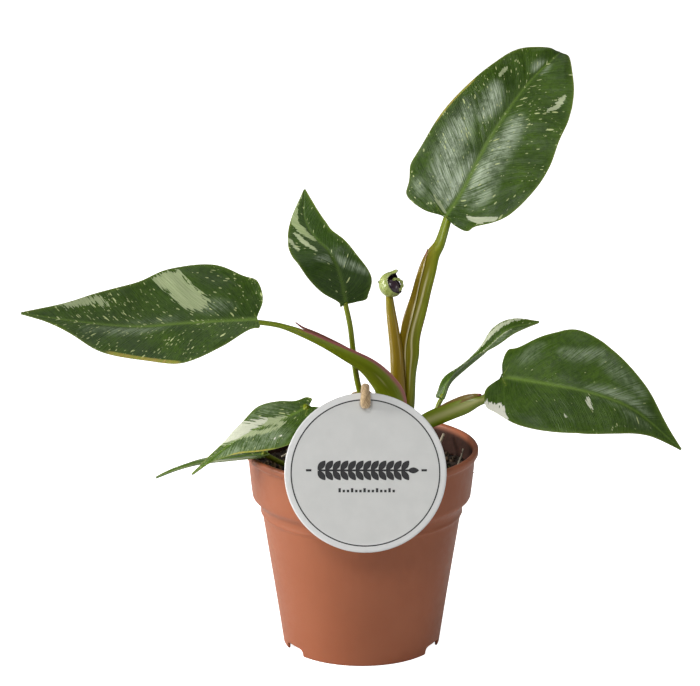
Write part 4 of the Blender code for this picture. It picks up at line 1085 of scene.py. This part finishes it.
card_finish, tree, shader = new_finish("coated_card", 0.55)
place = put(tree, "TexCoord").outputs["Object"]
grain = use(tree, GRAIN, {"Vector": place, "Scale": 1400.0})
base = blend(tree, grain["Tone"], (0.585, 0.592, 0.58), (0.615, 0.62, 0.607))
base = blend(tree, mask(tree, "rim_band"), base, (0.68, 0.685, 0.68))
tree.links.new(base, shader.inputs["Base Color"])
relief(tree, shader, grain["Pores"], 0.03)
ways = np.linspace(0, 2 * math.pi, 240, endpoint=False)
hole_height = TAG_RADIUS - HOLE_BELOW_TOP
# From the hole's centre, the distance to the card's edge in each direction.
to_edge = -hole_height * np.sin(ways) + np.sqrt(TAG_RADIUS**2 - (hole_height * np.cos(ways)) ** 2)
share = np.concatenate([[0.0], np.linspace(0.02, 0.96, 30), [0.985, 1.0]])[:, None]
reach = HOLE_RADIUS + (to_edge - HOLE_RADIUS) * share
half = 0.4 * np.ones_like(share)
half[0] = half[-1] = 0.25
across, height = reach * np.cos(ways), hole_height + reach * np.sin(ways)
front, back = on_tag(across, height, half), on_tag(across, height, -half)
band = step(np.hypot(across, height), 36.9, 37.1)
tag = add_surface(
    "tag_card_round", np.concatenate([front, back[::-1]]), card_finish,
    masks={"rim_band": np.concatenate([band, band[::-1]])}, wrap=(True, True),
)
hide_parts("plant_tag")

ink_finish, tree, shader = new_finish("dark_ink", 0.6)
place = put(tree, "TexCoord").outputs["Object"]
grain = use(tree, GRAIN, {"Vector": place, "Scale": 2500.0})
base = blend(tree, grain["Pores"], (0.012, 0.012, 0.014), (0.03, 0.03, 0.032))
tree.links.new(base, shader.inputs["Base Color"])


def print_shape(name, outlines, finish):
    """Flat printed shapes on the front of the card, each an outline of (across, height)."""
    points, faces, start = [], [], 0
    for outline in outlines:
        outline = np.asarray(outline)
        points.append(on_tag(outline[:, 0], outline[:, 1], 0.44))
        faces.append(tuple(range(start, start + len(outline))))
        start += len(outline)
    mesh = bpy.data.meshes.new(name)
    mesh.from_pydata(np.concatenate(points) * MM, [], faces)
    add_piece(name, mesh, finish)


def bar(x0, x1, y0, y1):
    """The four corners of an upright rectangle."""
    return [(x0, y0), (x1, y0), (x1, y1), (x0, y1)]


def leaflet(x, y, long, wide, turn):
    """A pointed oval whose width goes with the sine of the way along it."""
    s = np.linspace(0, 1, 15)
    half_width = wide / 2 * np.sin(math.pi * s) ** 0.8
    upper, lower = (np.stack([s * long, side * half_width], -1) for side in (1, -1))
    outline = np.concatenate([upper, lower[-2:0:-1]])
    c, s = math.cos(math.radians(turn)), math.sin(math.radians(turn))
    return outline @ np.array([[c, s], [-s, c]]) + (x, y)


gap = np.radians(90 + np.array([4.2, 355.8]))
ring_turns = np.linspace(gap[0], gap[1], 241)
inner_ring = np.stack([36.3 * np.cos(ring_turns), 36.3 * np.sin(ring_turns)], -1)
outer_ring = np.stack([36.9 * np.cos(ring_turns), 36.9 * np.sin(ring_turns)], -1)
ring_quads = [
    [outer_ring[k], outer_ring[k + 1], inner_ring[k + 1], inner_ring[k]] for k in range(len(ring_turns) - 1)
]
sprig = [bar(-23.0, 22.0, 0.9, 1.9)]
for k in range(12):
    x = -23.5 + 3.75 * k
    sprig += [leaflet(x, 1.5, 6.1, 3.2, 52), leaflet(x, 1.3, 6.1, 3.2, -52)]
sprig.append(leaflet(20.8, 1.4, 5.6, 3.0, 0))
dashes = [bar(-29.3, -26.6, 0.9, 2.0), bar(27.6, 30.3, 0.9, 2.0)]
dots = [bar(-13.3 + 2.05 * k, -12.1 + 2.05 * k, -9.6, -8.3 if k % 3 else -7.5) for k in range(14)]
print_shape("tag_ring", ring_quads, ink_finish)
print_shape("tag_sprig", [*sprig, *dashes, *dots], ink_finish)


# Twine: natural jute of three strands, about 4 mm thick, in one loop through the tag's hole, over its
# top edge and round the petiole of leaf c, with short hairs all along it.
LOOP = [
    (1.6, -59.4, 144.6), (1.6, -59.3, 147.8), (1.6, -55.6, 151.8), (1.4, -50.0, 147.9),
    (4.8, -23.6, 136.3), (3.6, -14.2, 135.5), (3.2, -9.4, 135.1), (-0.3, -7.8, 134.7),
    (-3.7, -9.4, 134.3), (-4.1, -14.2, 133.7), (-1.7, -23.6, 132.7), (0.4, -46.3, 142.0),
    (1.6, -53.2, 143.5), (1.6, -56.1, 143.8),
]
TWINE_RADIUS = 2.0
path = smooth_curve(LOOP[-3:] + LOOP + LOOP[:3], 900)[0]
from_start = np.linalg.norm(path - LOOP[0], axis=1)
path = path[np.argmin(from_start[:450]) : 450 + np.argmin(from_start[450:])]
run_length = np.concatenate([[0], np.cumsum(np.linalg.norm(np.diff(path, axis=0), axis=1))])
rings, sides = 420, 30
even = np.linspace(0, run_length[-1], rings, endpoint=False)
centre = np.stack([np.interp(even, run_length, path[:, k]) for k in range(3)], 1)
tangent = unit(np.roll(centre, -1, 0) - np.roll(centre, 1, 0))
normals = [unit(np.cross(tangent[0], (0.1, 0.2, 1.0)))]
for k in range(1, rings):
    normals.append(unit(normals[-1] - (normals[-1] @ tangent[k]) * tangent[k]))
normals = np.array(normals)
back = unit(normals[-1] - (normals[-1] @ tangent[0]) * tangent[0])
leftover = math.atan2(np.cross(back, normals[0]) @ tangent[0], back @ normals[0])
binormal = np.cross(tangent, normals)
TWISTS = 15
# Three strands, each a third of a turn on: the radius dips where two meet, and the dips wind round.
turn = np.linspace(0, 2 * math.pi, sides, endpoint=False)[None, :]
s = np.linspace(0, 1, rings, endpoint=False)[:, None]
wound = 3 * (turn - leftover * s) / 2 - math.pi * TWISTS * s
lobes = np.abs(np.cos(wound))
# In front of the card the cord is looser, and so thicker.
looser = 1 + 0.3 * np.exp(-(((centre[:, 1, None] + 60.2) / 2.6) ** 2))
lumpy = 1 + 0.06 * rough(np.stack([s * 300 + 0 * turn, turn * 2 + 0 * s], -1), 3, 3)
radius = TWINE_RADIUS * looser * (0.88 + 0.12 * lobes**0.7) * lumpy
twisted = turn + leftover * s
grid = centre[:, None] + radius[..., None] * (
    np.cos(twisted)[..., None] * normals[:, None] + np.sin(twisted)[..., None] * binormal[:, None]
)
twine_finish, tree, shader = new_finish("jute_twine", 0.9, Sheen_Weight=0.3)
run = put(tree, "UVMap", uv_map="run").outputs[0]
skewed = put(tree, "VectorRotate", {"Vector": run, "Angle": math.radians(38)},
             rotation_type="Z_AXIS").outputs[0]
lines = use(tree, STREAKS, {"Vector": skewed, "Across": 420.0, "Along": 40.0})
base = blend(tree, between(tree, lines["Lines"], 0.3, 0.7), (0.26, 0.165, 0.075), (0.6, 0.44, 0.25))
# Painted shade: the colour darkens in the grooves where two strands meet.
base = blend(tree, times(tree, mask(tree, "groove_shade"), 0.6), base, (0.2, 0.125, 0.055))
tree.links.new(base, shader.inputs["Base Color"])
relief(tree, shader, lines["Lines"], 0.3)
lengthwise = np.linspace(0, run_length[-1], rings + 1) / 100
roundabout = np.linspace(0, 2 * math.pi * TWINE_RADIUS, sides + 1) / 100
uv = np.stack(np.meshgrid(lengthwise, roundabout, indexing="ij"), -1)
groove_shade = {"groove_shade": step(lobes, 0.45, 0.05)}
twine = add_surface("twine_strands", grid, twine_finish, uv, groove_shade, wrap=(True, True))
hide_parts("twine_loop")

# Hairs: thin three-sided spikes that leave the strands at a slant.
HAIRS, HAIR_RADIUS = 420, 0.045
pick = np.random.default_rng(5)
ring = pick.integers(0, rings, HAIRS)
way = pick.uniform(0, 2 * math.pi, HAIRS)
outward = np.cos(way)[:, None] * normals[ring] + np.sin(way)[:, None] * binormal[ring]
root = centre[ring] + outward * TWINE_RADIUS * looser[ring] * 0.85
lengths = pick.uniform(0.6, 2.0, HAIRS)[:, None]
lie = unit(outward * pick.uniform(0.25, 0.8, (HAIRS, 1)) + tangent[ring] * pick.choice([-1, 1], (HAIRS, 1)))
corner_turns = np.array([0, 2.1, 4.2])
sideways = unit(np.cross(lie, outward))
corner_cos, corner_sin = (wave(corner_turns)[None, :, None] for wave in (np.cos, np.sin))
corners = root[:, None] + HAIR_RADIUS * (corner_cos * sideways[:, None] + corner_sin * outward[:, None])
points = np.concatenate([corners, (root + lie * lengths + 0.15 * lengths * outward)[:, None]], 1)
cone_faces = np.array([(0, 1, 3), (1, 2, 3), (2, 0, 3), (2, 1, 0)])
hair_faces = cone_faces[None] + 4 * np.arange(HAIRS)[:, None, None]
mesh = bpy.data.meshes.new("twine_hairs")
mesh.from_pydata(points.reshape(-1, 3) * MM, [], hair_faces.reshape(-1, 3))
face_outwards(mesh)
add_piece("twine_hairs", mesh, twine_finish)
